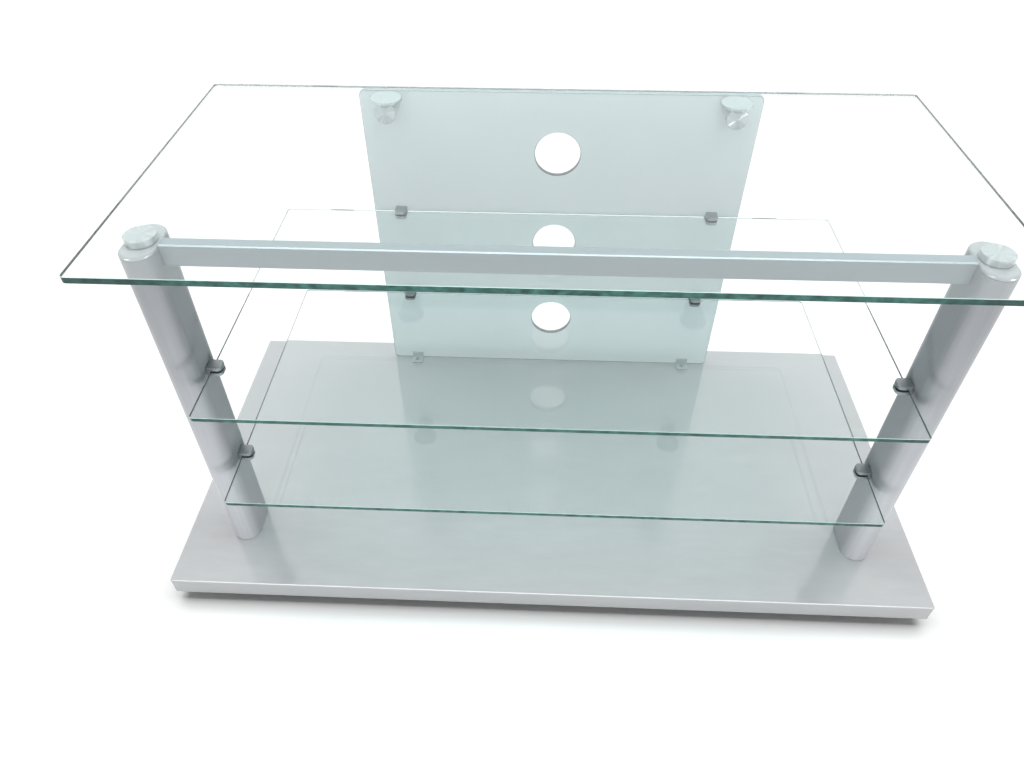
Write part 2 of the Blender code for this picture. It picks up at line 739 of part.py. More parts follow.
def build_panel_clips():
    """Clips on the front of the rear panel, each held by a screw from behind."""
    pattern = clip_pattern()
    back = (-CUTTER_OVERRUN, 0, 0)
    drill(pattern, back, (CLIP_BACK + CUTTER_OVERRUN, 0, 0), PANEL_SCREW_RADIUS + GAP, SMALL_STEPS)
    mesh = baked_mesh(pattern)
    length = PANEL_THICKNESS + CLIP_BACK
    screw = headed_profile(
        PANEL_SCREW_RADIUS,
        length,
        PANEL_SCREW_HEAD_RADIUS,
        PANEL_SCREW_HEAD,
        SOFT_EDGE / 2,
    )
    head_y = PANEL_REAR_Y + GAP + PANEL_SCREW_HEAD
    for level, top in SHELF_TOPS.items():
        z = top - SHELF_THICKNESS / 2
        for side, sign in SIDES.items():
            place = level + "_" + side
            x = sign * PANEL_CLIP_X
            face = (x, PANEL_FRONT_Y - GAP, z)
            add_part("panel_clip_" + place, mesh, CLIP_METAL, face, (0, 0, -math.pi / 2))
            add_turned(
                "panel_clip_screw_" + place,
                screw,
                ZINC_STEEL,
                (x, head_y, z),
                (math.pi / 2, 0, 0),
                steps=SMALL_STEPS,
            )


def build_top_bracket(side, sign):
    """Bracket of a round plate under the top glass, a tapered neck and a boss against the panel."""
    name = "top_bracket_" + side
    x = sign * PANEL_CLIP_X
    plate_y = PANEL_FRONT_Y - GAP - BRACKET_PLATE_RADIUS
    plate_top = TOP_BOTTOM - GAP
    neck_end = BRACKET_Z - plate_top
    profile = [
        (0.0, 0.0),
        (BRACKET_PLATE_RADIUS - BRACKET_EDGE, 0.0),
        (BRACKET_PLATE_RADIUS, -BRACKET_EDGE),
        (BRACKET_PLATE_RADIUS, -BRACKET_PLATE),
        (BRACKET_NECK_RADIUS, neck_end),
        (0.0, neck_end),
    ]
    bracket = add_turned(name, profile, SPUN_ALUMINIUM, (x, plate_y, plate_top))
    boss_profile = [
        (0.0, BRACKET_REACH),
        (BRACKET_BOSS_RADIUS - BRACKET_EDGE, BRACKET_REACH),
        (BRACKET_BOSS_RADIUS, BRACKET_REACH - BRACKET_EDGE),
        (BRACKET_BOSS_RADIUS, 0.0),
        (0.0, 0.0),
    ]
    boss = bpy.data.objects.new(name + "_boss", profile_mesh(name + "_boss", boss_profile, False))
    boss.location = (x, PANEL_FRONT_Y - GAP, BRACKET_Z)
    boss.rotation_euler = (math.pi / 2, 0, 0)
    combine(bracket, as_cutter(turn(boss, TURN_STEPS)), "UNION")
    bore_end = PANEL_FRONT_Y - BRACKET_BOLT_GRIP - GAP
    mouth = (x, PANEL_FRONT_Y + CUTTER_OVERRUN, BRACKET_Z)
    drill(bracket, (x, bore_end, BRACKET_Z), mouth, BRACKET_BOLT_RADIUS + GAP)
    bolt = headed_profile(
        BRACKET_BOLT_RADIUS,
        PANEL_THICKNESS + BRACKET_BOLT_GRIP,
        BRACKET_BOLT_HEAD_RADIUS,
        BRACKET_BOLT_HEAD,
        SOFT_EDGE,
    )
    head = (x, PANEL_REAR_Y + GAP + BRACKET_BOLT_HEAD, BRACKET_Z)
    bolt_name = "top_bracket_bolt_" + side
    add_turned(bolt_name, bolt, ZINC_STEEL, head, (math.pi / 2, 0, 0), steps=HOLE_SIDES)


def build_panel_angle(side, sign):
    """Small angle at the foot of the panel, with the screw that holds it on the board."""
    name = "panel_angle_" + side
    outline = (
        (0.0, 0.0),
        (ANGLE_LEG, 0.0),
        (ANGLE_LEG, ANGLE_SHEET),
        (ANGLE_SHEET, ANGLE_SHEET),
        (ANGLE_SHEET, ANGLE_HEIGHT),
        (0.0, ANGLE_HEIGHT),
    )
    x = sign * PANEL_CLIP_X
    place = (x, PANEL_FRONT_Y - GAP, BASE_TOP + GAP)
    turned = (math.pi / 2, 0, -math.pi / 2)
    angle = add_part(name, flat_mesh(name, (outline,), ANGLE_WIDTH), CLIP_METAL, place, turned)
    y = angle_screw_y()
    seat = BASE_TOP + GAP + ANGLE_SHEET
    radius = ANGLE_SCREW_RADIUS + GAP
    above = seat + CUTTER_OVERRUN
    drill(angle, (x, y, BASE_TOP - CUTTER_OVERRUN), (x, y, above), radius, SMALL_STEPS)
    screw = headed_profile(
        ANGLE_SCREW_RADIUS,
        ANGLE_SCREW_LENGTH,
        ANGLE_SCREW_HEAD_RADIUS,
        ANGLE_SCREW_HEAD,
        ANGLE_SCREW_HEAD / 4,
    )
    head = (x, y, seat + GAP + ANGLE_SCREW_HEAD)
    screw_name = "angle_screw_" + side
    add_turned(screw_name, screw, ZINC_STEEL, head, (math.pi, 0, 0), steps=SMALL_STEPS)


build_base_board()
build_feet()
build_post_bolts()
build_crossbar()
for post_side, post_sign in SIDES.items():
    build_post(post_side, post_sign)
    build_post_plug(post_side, post_sign)
    build_post_cap(post_side, post_sign)
    build_puck(post_side, post_sign)
    build_crossbar_end(post_side, post_sign)
    build_top_bracket(post_side, post_sign)
    build_panel_angle(post_side, post_sign)
build_rear_panel()
build_post_clips()
build_panel_clips()
build_glass_plate(
    "top_glass", TOP_WIDTH, TOP_FRONT_Y, PANEL_REAR_Y, TOP_BOTTOM + TOP_THICKNESS, TOP_THICKNESS
)
for shelf_level, shelf_top in SHELF_TOPS.items():
    build_glass_plate(
        shelf_level + "_shelf", SHELF_WIDTH, SHELF_FRONT_Y, SHELF_REAR_Y, shelf_top, SHELF_THICKNESS
    )
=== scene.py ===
"""An open TV stand of satin metal and glass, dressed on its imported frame.

The board, posts, clips and glass plates are modelled at the frame's own places with softened edges
and procedural finishes, and stand in a plain studio seen from the photograph's angle. Metres, +Z up.
"""

import json
import logging
import math
from abc import ABC, abstractmethod
from collections.abc import Iterable, Sequence
from dataclasses import dataclass, field
from enum import Enum

import bmesh
import bpy
from bmesh.types import BMEdge, BMesh
from mathutils import Matrix, Vector

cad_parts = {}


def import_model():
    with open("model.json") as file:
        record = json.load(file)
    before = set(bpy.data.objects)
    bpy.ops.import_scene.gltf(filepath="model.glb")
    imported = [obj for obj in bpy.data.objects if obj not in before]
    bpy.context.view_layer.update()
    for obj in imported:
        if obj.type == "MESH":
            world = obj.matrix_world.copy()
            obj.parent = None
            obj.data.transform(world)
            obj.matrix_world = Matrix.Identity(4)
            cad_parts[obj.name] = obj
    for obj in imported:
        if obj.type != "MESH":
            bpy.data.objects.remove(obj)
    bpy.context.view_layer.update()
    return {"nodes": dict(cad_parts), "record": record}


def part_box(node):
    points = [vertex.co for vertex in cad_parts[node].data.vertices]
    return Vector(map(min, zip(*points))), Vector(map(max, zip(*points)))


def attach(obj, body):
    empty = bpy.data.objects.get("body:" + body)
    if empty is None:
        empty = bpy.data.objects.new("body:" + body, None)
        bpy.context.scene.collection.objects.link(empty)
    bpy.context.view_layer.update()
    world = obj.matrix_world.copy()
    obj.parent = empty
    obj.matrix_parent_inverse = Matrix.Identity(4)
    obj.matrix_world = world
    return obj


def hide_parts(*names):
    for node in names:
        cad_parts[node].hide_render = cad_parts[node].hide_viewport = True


LOG = logging.getLogger("tv_stand")

Colour = tuple[float, float, float]
Triple = tuple[float, float, float]
Span = tuple[float, float]
Socket = bpy.types.NodeSocket
Source = Socket | float | Sequence[float]
Inputs = dict[str | int, Source]
Material = bpy.types.Material

STAND = "stand"

WHITE = (1.0, 1.0, 1.0)
BLACK = (0.0, 0.0, 0.0)
ORIGIN = (0.0, 0.0, 0.0)
WHOLE = (0.0, 1.0)
# Most values of a noise lie in this span
NOISE_SPAN = (0.3, 0.7)
# A span that no part of the stand reaches
NOWHERE = (9.0, 10.0)

# Points closer than this are one point
WELD = 0.00001
# Rounding of an oblong's corners as a share of its width, and a weld that closes the strip left over
NEARLY_HALF = 0.4998
SEAM = 0.00005
# Largest angle that is shaded smooth, and least angle of an edge that is rounded
SMOOTH_ANGLE = math.radians(40)
SHARP_ANGLE = math.radians(35)
# Least share of its normal on an axis that a face looks along, and most on one that it lies along
FACING = 0.99
ALONG = 0.01
QUARTER_TURN = math.pi / 2


class Axis(Enum):
    """Direction of an edge or of a turned piece."""

    X = 0
    Y = 1
    Z = 2


class Join(Enum):
    """How two closed shapes are put together."""

    ADD = "UNION"
    CUT = "DIFFERENCE"


class Slot(Enum):
    """Material slots of the record."""

    BOARD = "silver_board"
    SATIN = "satin_aluminium"
    SPUN = "spun_aluminium"
    CLIP = "clip_metal"
    CLEAR = "clear_glass"
    FROSTED = "frosted_glass"
    STEEL = "zinc_steel"
    PLASTIC = "foot_plastic"


class Side(Enum):
    """Left and right of the stand, as seen from its front."""

    LEFT = "left"
    RIGHT = "right"


class Level(Enum):
    """The two shelf levels."""

    UPPER = "upper"
    LOWER = "lower"


class End(Enum):
    """Front and rear of the stand."""

    FRONT = "front"
    REAR = "rear"


class PlateFace(Enum):
    """Faces of a clear plate, by the number of their material."""

    CLEAR = 0
    FRONT = 1
    ARRIS = 2
    SIDE = 3
    REAR = 4


class PanelFace(Enum):
    """Faces of the frosted panel, by the number of their material."""

    FROSTED = 0
    EDGE = 1
    ARRIS = 2
    HOLE = 3


def screen(red: int, green: int, blue: int) -> Colour:
    """Turn a screen colour into the linear colour that a shader takes, by the standard curve.

    Args:
        red: Red share, 0 to 255.
        green: Green share, 0 to 255.
        blue: Blue share, 0 to 255.

    Returns:
        The same colour with linear shares of 0 to 1.
    """
    shares = (share / 255 for share in (red, green, blue))
    curve = (s / 12.92 if s <= 0.04045 else ((s + 0.055) / 1.055) ** 2.4 for s in shares)
    return tuple(curve)


class NodeSheet:
    """A node tree, with short ways to add and join its nodes."""

    def __init__(self, tree: bpy.types.NodeTree) -> None:
        """Empty a tree and keep it."""
        self.tree = tree
        self.tree.nodes.clear()

    def feed(self, target: Socket, source: Source) -> None:
        """Join an output to an input, or set the input's own value.

        Args:
            target: Input socket.
            source: Output socket, number or row of numbers.
        """
        if isinstance(source, Socket):
            self.tree.links.new(source, target)
        elif target.type == "RGBA":
            target.default_value = (*source, 1.0)
        else:
            target.default_value = source

    def add(self, kind: str, inputs: Inputs | None = None, **settings: object) -> bpy.types.Node:
        """Add a node.

        Args:
            kind: Blender's name of the node type, without its ShaderNode.
            inputs: Sources of its inputs, by their name or number.
            settings: Properties of the node itself.

        Returns:
            The new node.
        """
        node = self.tree.nodes.new("ShaderNode" + kind)
        for name, value in settings.items():
            setattr(node, name, value)
        for name, source in (inputs or {}).items():
            self.feed(node.inputs[name], source)
        return node

    def place(self, scale: Triple = (1.0, 1.0, 1.0), centre: Triple = ORIGIN) -> Socket:
        """Object coordinates, counted from a centre and stretched.

        Args:
            scale: Stretch of the pattern along X, Y and Z.
            centre: Point that becomes the pattern's origin.

        Returns:
            The coordinates.
        """
        shift = tuple(-c * s for c, s in zip(centre, scale))
        here = self.add("TexCoord").outputs["Object"]
        return self.add("Mapping", {"Vector": here, "Location": shift, "Scale": scale}).outputs["Vector"]

    def noise(self, place: Socket, scale: float = 1.0, detail: float = 2.0) -> Socket:
        """Cloudy noise: cells per unit of the coordinates, and how many finer layers are added."""
        return self.add("TexNoise", {"Vector": place, "Scale": scale, "Detail": detail}).outputs["Fac"]

    def spread(self, value: Socket, low: float, high: float, span: Span = NOISE_SPAN) -> Socket:
        """Stretch a span of a value so that it runs from low to high, and hold it there beyond."""
        ends = {"From Min": span[0], "From Max": span[1], "To Min": low, "To Max": high}
        return self.add("MapRange", {"Value": value, **ends}).outputs["Result"]

    def math(self, operation: str, first: Source, second: Source = 0.0) -> Socket:
        """Work out one step of arithmetic, by Blender's name of the operation."""
        return self.add("Math", {0: first, 1: second}, operation=operation).outputs[0]

    def vector(self, operation: str, first: Socket, second: Source = ORIGIN) -> Socket:
        """Work out one step of vector arithmetic, by Blender's name of the operation."""
        return self.add("VectorMath", {0: first, 1: second}, operation=operation).outputs["Vector"]

    def length(self, vector: Socket) -> Socket:
        """Measure a vector's length."""
        return self.add("VectorMath", {0: vector}, operation="LENGTH").outputs["Value"]

    def between(self, share: Socket, first: Source, second: Source) -> Socket:
        """Blend two colours: a share of 0 gives the first, and 1 the second."""
        return self.add("Mix", {"Factor": share, 6: first, 7: second}, data_type="RGBA").outputs[2]

    def shade(self, noise: Socket, dark: Colour, light: Colour) -> Socket:
        """Blend a dark and a light colour by a noise."""
        return self.between(self.spread(noise, *WHOLE), dark, light)

    def bump(self, height: Socket, distance: float) -> Socket:
        """Turn a height into a normal, with the metres that one unit of it stands for."""
        inputs = {"Height": height, "Distance": distance, "Strength": 1.0}
        return self.add("Bump", inputs).outputs["Normal"]

    def shader(self, kind: str, **inputs: Source) -> Socket:
        """Add a shader, whose inputs are named with underscores for spaces."""
        named = {name.replace("_", " "): source for name, source in inputs.items()}
        return self.add(kind, named).outputs[0]

    def mix(self, share: Socket, first: Socket, second: Socket) -> Socket:
        """Mix two shaders: a share of 0 gives the first, and 1 the second."""
        return self.add("MixShader", {0: share, 1: first, 2: second}).outputs[0]


class MaterialSheet(NodeSheet):
    """Node tree of one new material."""

    def __init__(self, name: str) -> None:
        """Start an empty tree under a new material.

        Args:
            name: The material's name.
        """
        self.material = bpy.data.materials.new(name)
        self.material.use_nodes = True
        super().__init__(self.material.node_tree)

    def close(self, **shaders: Socket) -> Material:
        """Close the tree with its Surface, and its Volume if it has one, and return the material."""
        self.add("OutputMaterial", shaders)
        return self.material


class Finish(ABC):
    """A surface finish that can make its own material."""

    @abstractmethod
    def material(self) -> Material:
        """Make the finish's material."""


@dataclass(frozen=True)
class Skin(Finish):
    """A skin with one noise in its colour, and another in its gloss and its height."""

    name: str
    light: Colour
    dark: Colour
    smooth: float
    rough: float
    metallic: float = 0.0
    tint_scale: Triple = (1.0, 1.0, 1.0)
    tint_detail: float = 2.0
    grain_scale: float = 900.0
    grain_detail: float = 2.0
    grain_height: float = 0.0
    transmission: float = 0.0

    def material(self) -> Material:
        """Make the skin's material.

        Returns:
            The material.
        """
        sheet = MaterialSheet(self.name)
        tint = sheet.noise(sheet.place(self.tint_scale), detail=self.tint_detail)
        grain = sheet.noise(sheet.place(), self.grain_scale, self.grain_detail)
        relief = {"Normal": sheet.bump(grain, self.grain_height)} if self.grain_height else {}
        shader = sheet.shader(
            "BsdfPrincipled",
            Base_Color=sheet.shade(tint, self.dark, self.light),
            Metallic=self.metallic,
            Roughness=sheet.spread(grain, self.smooth, self.rough),
            Transmission_Weight=self.transmission,
            **relief,
        )
        return sheet.close(Surface=shader)


@dataclass(frozen=True)
class SilverBoard(Skin):
    """Silver lacquer on a board: fine flake, faint drawn lines and a soft mirror."""

    name: str = "silver_board"
    light: Colour = screen(178, 179, 181)
    dark: Colour = screen(174, 175, 177)
    smooth: float = 0.12
    rough: float = 0.16
    metallic: float = 0.25
    tint_scale: Triple = (18.0, 70.0, 70.0)
    tint_detail: float = 3.0
    grain_scale: float = 1400.0
    grain_detail: float = 1.0
    grain_height: float = 0.000002


@dataclass(frozen=True)
class SatinMetal(Skin):
    """Silver-anodised aluminium, nearly matt, with grain drawn along it and a fine speckle."""

    name: str = "post_satin"
    light: Colour = screen(164, 167, 171)
    dark: Colour = screen(156, 159, 163)
    smooth: float = 0.30
    rough: float = 0.38
    metallic: float = 0.2
    tint_scale: Triple = (900.0, 900.0, 4.0)
    grain_detail: float = 1.0
    grain_height: float = 0.000006


@dataclass(frozen=True)
class LevelSatin(SatinMetal):
    """The same metal with its grain from side to side."""

    tint_scale: Triple = (4.0, 900.0, 900.0)


@dataclass(frozen=True)
class PolishedSatin(SatinMetal):
    """The same metal with a brighter gleam."""

    smooth: float = 0.20
    rough: float = 0.26
    metallic: float = 0.4


@dataclass(frozen=True)
class CastMetal(Skin):
    """Die-cast grey metal with a softly uneven skin."""

    name: str = "clip_metal"
    light: Colour = screen(176, 182, 183)
    dark: Colour = screen(148, 154, 156)
    smooth: float = 0.28
    rough: float = 0.42
    metallic: float = 1.0
    tint_scale: Triple = (700.0, 700.0, 700.0)
    tint_detail: float = 3.0
    grain_scale: float = 700.0
    grain_detail: float = 3.0
    grain_height: float = 0.00001


@dataclass(frozen=True)
class PlatedSteel(Skin):
    """Zinc-plated steel of the screws and bolts, smooth but cloudy."""

    name: str = "zinc_steel"
    light: Colour = screen(196, 198, 200)
    dark: Colour = screen(158, 161, 166)
    smooth: float = 0.22
    rough: float = 0.40
    metallic: float = 1.0
    tint_scale: Triple = (420.0, 420.0, 420.0)
    tint_detail: float = 3.0
    grain_scale: float = 420.0
    grain_detail: float = 3.0


@dataclass(frozen=True)
class FootPlastic(Skin):
    """Dark moulded plastic with a fine texture."""

    name: str = "foot_plastic"
    light: Colour = screen(58, 59, 62)
    dark: Colour = screen(42, 43, 46)
    smooth: float = 0.42
    rough: float = 0.58
    tint_scale: Triple = (1100.0, 1100.0, 1100.0)
    grain_scale: float = 1100.0
    grain_height: float = 0.00003


@dataclass(frozen=True)
class FrostedGlass(Skin):
    """Pale frosted glass: a fine etched skin that glows with the light behind it."""

    name: str = "frosted_glass"
    light: Colour = screen(239, 246, 248)
    dark: Colour = screen(231, 239, 241)
    smooth: float = 0.32
    rough: float = 0.42
    tint_scale: Triple = (3.0, 3.0, 3.0)
    grain_height: float = 0.00001
    transmission: float = 0.35


@dataclass(frozen=True)
class SpunMetal(Finish):
    """Faced metal whose fine turning marks fan out the highlights, with a painted highlight fan in its
    colour.
    """

    name: str
    centre: Triple
    axis: Axis
    slope: float
    # Light and dark ends of the painted highlight fan
    light: Colour = screen(203, 206, 207)
    dark: Colour = screen(163, 168, 169)
    metallic: float = 0.5
    roughness: float = 0.16
    marks: float = 5200.0
    painted_fan_sectors: float = 3.5
    uneven_scale: float = 160.0
    uneven_turn: float = 9.0

    def material(self) -> Material:
        """Make the turned metal's material.

        Returns:
            The material.
        """
        sheet = MaterialSheet(self.name)
        flat = tuple(0.0 if axis is self.axis else 1.0 for axis in Axis)
        place = sheet.place(centre=self.centre)
        spoke = sheet.vector("MULTIPLY", place, flat)
        outward = sheet.vector("NORMALIZE", spoke)
        turns = sheet.math("MULTIPLY", sheet.length(spoke), self.marks)
        uneven = sheet.noise(place, self.uneven_scale, detail=1.0)
        shifted = sheet.math("ADD", turns, sheet.math("MULTIPLY", uneven, self.uneven_turn))
        wave = sheet.math("SINE", shifted)
        tilt = sheet.vector("MULTIPLY", outward, sheet.math("MULTIPLY", wave, self.slope))
        straight = sheet.add("NewGeometry").outputs["Normal"]
        shader = sheet.shader(
            "BsdfPrincipled",
            # Painted highlights: the colour runs through light and dark sectors round the axis
            Base_Color=sheet.shade(sheet.noise(outward, self.painted_fan_sectors), self.dark, self.light),
            Metallic=self.metallic,
            Roughness=self.roughness,
            Normal=sheet.vector("NORMALIZE", sheet.vector("ADD", straight, tilt)),
        )
        return sheet.close(Surface=shader)


@dataclass(frozen=True)
class ClearGlass(Finish):
    """Clear float glass with a slight green body, which lets the lamps through."""

    shade: Colour = (0.965, 0.985, 0.98)
    body: Colour = (0.55, 0.95, 0.92)
    density: float = 10.0
    refraction: float = 1.5

    def material(self) -> Material:
        """Make the glass's material.

        Returns:
            The material.
        """
        sheet = MaterialSheet("clear_glass")
        glass = sheet.shader(
            "BsdfPrincipled", Base_Color=WHITE, Roughness=0.0, IOR=self.refraction, Transmission_Weight=1.0
        )
        through = sheet.shader("BsdfTransparent", Color=self.shade)
        body = sheet.shader("VolumeAbsorption", Color=self.body, Density=self.density)
        shadow = sheet.add("LightPath").outputs["Is Shadow Ray"]
        return sheet.close(Surface=sheet.mix(shadow, glass, through), Volume=body)


@dataclass(frozen=True)
class GlassEdge(Finish):
    """Polished edge of glass: a plain tint from outside, and clear or partly tinted from within.

    The tint within is painted shade for the dark line that an edge shows through the glass, and may end
    at a span of Y, behind which the edge is quite clear. The tint outside may turn darker over a span of
    X on both sides of the middle, as painted shade towards the edge's ends.
    """

    name: str
    light: Colour
    dark: Colour
    roughness: float = 0.18
    within: Colour = WHITE
    clearness: float = 1.0
    fade: Span = NOWHERE
    ends: Span = NOWHERE
    # Painted shade towards both ends of the edge
    end_colour: Colour = screen(26, 48, 46)
    end_share: float = 0.6
    cloud_scale: Triple = (90.0, 90.0, 140.0)
    refraction: float = 1.5

    def material(self) -> Material:
        """Make the edge's material.

        Returns:
            The material.
        """
        sheet = MaterialSheet(self.name)
        clouds = sheet.noise(sheet.place(self.cloud_scale), detail=3.0)
        inside = sheet.add("NewGeometry").outputs["Backfacing"]
        split = sheet.add("SeparateXYZ", {"Vector": sheet.place()}).outputs
        aside = sheet.math("ABSOLUTE", split["X"])
        # Painted shade: the outside tint turns darker towards both ends of the edge
        end = sheet.spread(aside, 0.0, self.end_share, self.ends)
        tint = sheet.between(end, sheet.shade(clouds, self.dark, self.light), self.end_colour)
        # Painted shade: the tint within stands for the dark line that the edge shows through the glass
        behind = sheet.spread(split["Y"], *WHOLE, self.fade)
        clear = sheet.between(behind, self.within, WHITE)
        clearness = sheet.spread(behind, self.clearness, 1.0, WHOLE)
        shader = sheet.shader(
            "BsdfPrincipled",
            Base_Color=sheet.between(inside, tint, clear),
            Roughness=sheet.math("MULTIPLY", sheet.math("SUBTRACT", 1.0, inside), self.roughness),
            IOR=self.refraction,
            Transmission_Weight=sheet.math("MULTIPLY", inside, clearness),
        )
        return sheet.close(Surface=shader)


@dataclass(frozen=True)
class GroundEdge(GlassEdge):
    """Edge, arris or bored wall of glass that is ground but not polished."""

    roughness: float = 0.3


@dataclass
class FinishSet:
    """All materials of the stand, made once and shared."""

    board: Material
    post: Material
    cap: Material
    bar: Material
    plate: Material
    clip: Material
    steel: Material
    plastic: Material
    clear: Material
    edge: Material
    rear_edge: Material
    side_edges: dict[str, Material]
    arris: Material
    frosted: Material
    panel_edge: Material
    panel_arris: Material
    shaded_hole_wall: Material

    @classmethod
    def make(cls) -> "FinishSet":
        """Make every shared material.

        Returns:
            The materials.
        """
        green = {"light": screen(62, 118, 109), "dark": screen(26, 68, 62)}
        # Painted shade: through the glass, side edges show opaque dark grey and the top's rear edge a grey
        # tint
        side = {**green, "within": screen(84, 90, 90), "clearness": 0.0}
        rear = {**green, "within": screen(150, 158, 160), "clearness": 0.3}
        shared = {
            "board": SilverBoard(),
            "post": SatinMetal(),
            "cap": PolishedSatin("cap_satin", screen(178, 179, 182), screen(170, 171, 174)),
            "bar": LevelSatin("bar_satin", screen(150, 158, 163), screen(144, 152, 157)),
            "plate": LevelSatin("plate_satin", screen(174, 183, 185), screen(168, 177, 179)),
            "clip": CastMetal(),
            "steel": PlatedSteel(),
            "plastic": FootPlastic(),
            "clear": ClearGlass(),
            # Painted shade: the front edges turn darker towards their ends
            "edge": GlassEdge("glass_edge", **green, ends=(0.36, 0.42)),
            "rear_edge": GlassEdge("glass_rear_edge", **rear),
            # Partly the ground arris's own pale tone, partly a painted highlight: the front arris shows as
            # a light mint line
            "arris": GroundEdge("ground_arris_and_highlight", screen(196, 226, 220), screen(176, 210, 204)),
            "frosted": FrostedGlass(),
            "panel_edge": GroundEdge(
                "panel_edge", screen(174, 186, 188), screen(164, 176, 178), roughness=0.4
            ),
            "panel_arris": GroundEdge("panel_arris", screen(128, 138, 140), screen(112, 123, 125)),
            # Painted shade: the bores' walls and rims are far darker than the panel's outer edges, for the
            # shade in the holes
            "shaded_hole_wall": GroundEdge("shaded_hole_wall", screen(78, 84, 86), screen(66, 72, 74)),
        }
        sides = {
            "top_glass": GlassEdge("top_side_edge", **side),
            "upper_shelf": GlassEdge("upper_side_edge", **side, fade=(0.0, 0.02)),
            "lower_shelf": GlassEdge("lower_side_edge", **side, fade=(0.07, 0.09)),
        }
        side_edges = {node: finish.material() for node, finish in sides.items()}
        return cls(side_edges=side_edges, **{name: finish.material() for name, finish in shared.items()})


def block(low: Vector, high: Vector) -> BMesh:
    """Make a closed box.

    Args:
        low: Lowest corner.
        high: Highest corner.

    Returns:
        The box.
    """
    shape = bmesh.new()
    bmesh.ops.create_cube(shape, size=1.0)
    bmesh.ops.scale(shape, vec=high - low, verts=shape.verts)
    bmesh.ops.translate(shape, vec=(low + high) / 2, verts=shape.verts)
    return shape


def edges_along(shape: BMesh, axis: Axis) -> list[BMEdge]:
    """Find the edges that run along an axis.

    Args:
        shape: Shape to search.
        axis: Direction of the edges.

    Returns:
        Those edges.
    """
    def runs(edge: BMEdge) -> bool:
        """Tell whether an edge lies along the axis."""
        step = edge.verts[1].co - edge.verts[0].co
        return abs(step[axis.value]) > step.length - WELD

    return [edge for edge in shape.edges if runs(edge)]


def sharp_edges(shape: BMesh, above: float = -math.inf, below: float = math.inf) -> list[BMEdge]:
    """Find the edges where two faces meet at a clear angle.

    Args:
        shape: Shape to search.
        above: Height that an edge has to start above.
        below: Height that it has to start below.

    Returns:
        Those edges.
    """
    sharp = [edge for edge in shape.edges if edge.calc_face_angle(0.0) > SHARP_ANGLE]
    return [edge for edge in sharp if above < edge.verts[0].co.z < below]


def soften(shape: BMesh, edges: Iterable[BMEdge], radius: float, segments: int = 1) -> None:
    """Round off edges, or chamfer them.

    Args:
        shape: Shape that is changed.
        edges: Edges to round.
        radius: Radius of the rounding.
        segments: Faces across the rounding, 1 for a chamfer.
    """
    bmesh.ops.bevel(
        shape,
        geom=list(edges),
        offset=radius,
        offset_type="OFFSET",
        segments=segments,
        profile=0.5,
        affect="EDGES",
        material=-1,
        clamp_overlap=True,
    )


def spun(profile: Sequence[tuple[float, float]], steps: int) -> BMesh:
    """Turn a profile about Z.

    Args:
        profile: Points of radius and height, from axis to axis.
        steps: Faces round the axis.

    Returns:
        The closed round shape.
    """
    shape = bmesh.new()
    points = [shape.verts.new((radius, 0.0, height)) for radius, height in profile]
    lines = [shape.edges.new(pair) for pair in zip(points, points[1:])]
    bmesh.ops.spin(
        shape,
        geom=points + lines,
        cent=ORIGIN,
        axis=(0.0, 0.0, 1.0),
        angle=math.tau,
        steps=steps,
        use_merge=True,
    )
    bmesh.ops.remove_doubles(shape, verts=shape.verts, dist=WELD)
    bmesh.ops.recalc_face_normals(shape, faces=shape.faces)
    return shape


def moved(shape: BMesh, place: Vector, turned: Matrix | None = None) -> BMesh:
    """Turn a shape about the origin and then move it.

    Args:
        shape: Shape that is changed.
        place: Where its origin goes.
        turned: Rotation, if any.

    Returns:
        The same shape.
    """
    matrix = Matrix.Translation(place) @ (turned or Matrix()).to_4x4()
    bmesh.ops.transform(shape, matrix=matrix, verts=shape.verts)
    return shape


def linked(name: str, data: bpy.types.ID) -> bpy.types.Object:
    """Make an object and put it in the scene.

    Args:
        name: The object's name.
        data: Its mesh, lamp or camera.

    Returns:
        The object.
    """
    thing = bpy.data.objects.new(name, data)
    bpy.context.scene.collection.objects.link(thing)
    return thing


def mesh_object(name: str, shape: BMesh) -> bpy.types.Object:
    """Turn a shape into an object of the scene, and free the shape.

    Args:
        name: Name of the object and its mesh.
        shape: The shape.

    Returns:
        The object.
    """
    mesh = bpy.data.meshes.new(name)
    shape.to_mesh(mesh)
    shape.free()
    return linked(name, mesh)


def put_together(first: BMesh, second: BMesh, how: Join) -> BMesh:
    """Join two closed shapes or cut one with the other.

    Args:
        first: Shape that is kept.
        second: Shape that is added or cut away.
        how: Join or cut.

    Returns:
        The resulting closed shape.
    """
    helpers = [mesh_object("helper", shape) for shape in (first, second)]
    tool = helpers[0].modifiers.new("join", "BOOLEAN")
    tool.operation = how.value
    tool.object = helpers[1]
    tool.solver = "EXACT"
    solved = helpers[0].evaluated_get(bpy.context.evaluated_depsgraph_get())
    result = bmesh.new()
    result.from_mesh(solved.to_mesh())
    solved.to_mesh_clear()
    for helper in helpers:
        mesh = helper.data
        bpy.data.objects.remove(helper)
        bpy.data.meshes.remove(mesh)
    bmesh.ops.remove_doubles(result, verts=result.verts, dist=WELD)
    return result


def middle(node: str) -> Vector:
    """Centre of a CAD node's box at rest."""
    low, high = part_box(node)
    return (low + high) / 2


def floor_point(node: str) -> Vector:
    """Point of the floor under a CAD node's centre."""
    centre = middle(node)
    return Vector((centre.x, centre.y, 0))


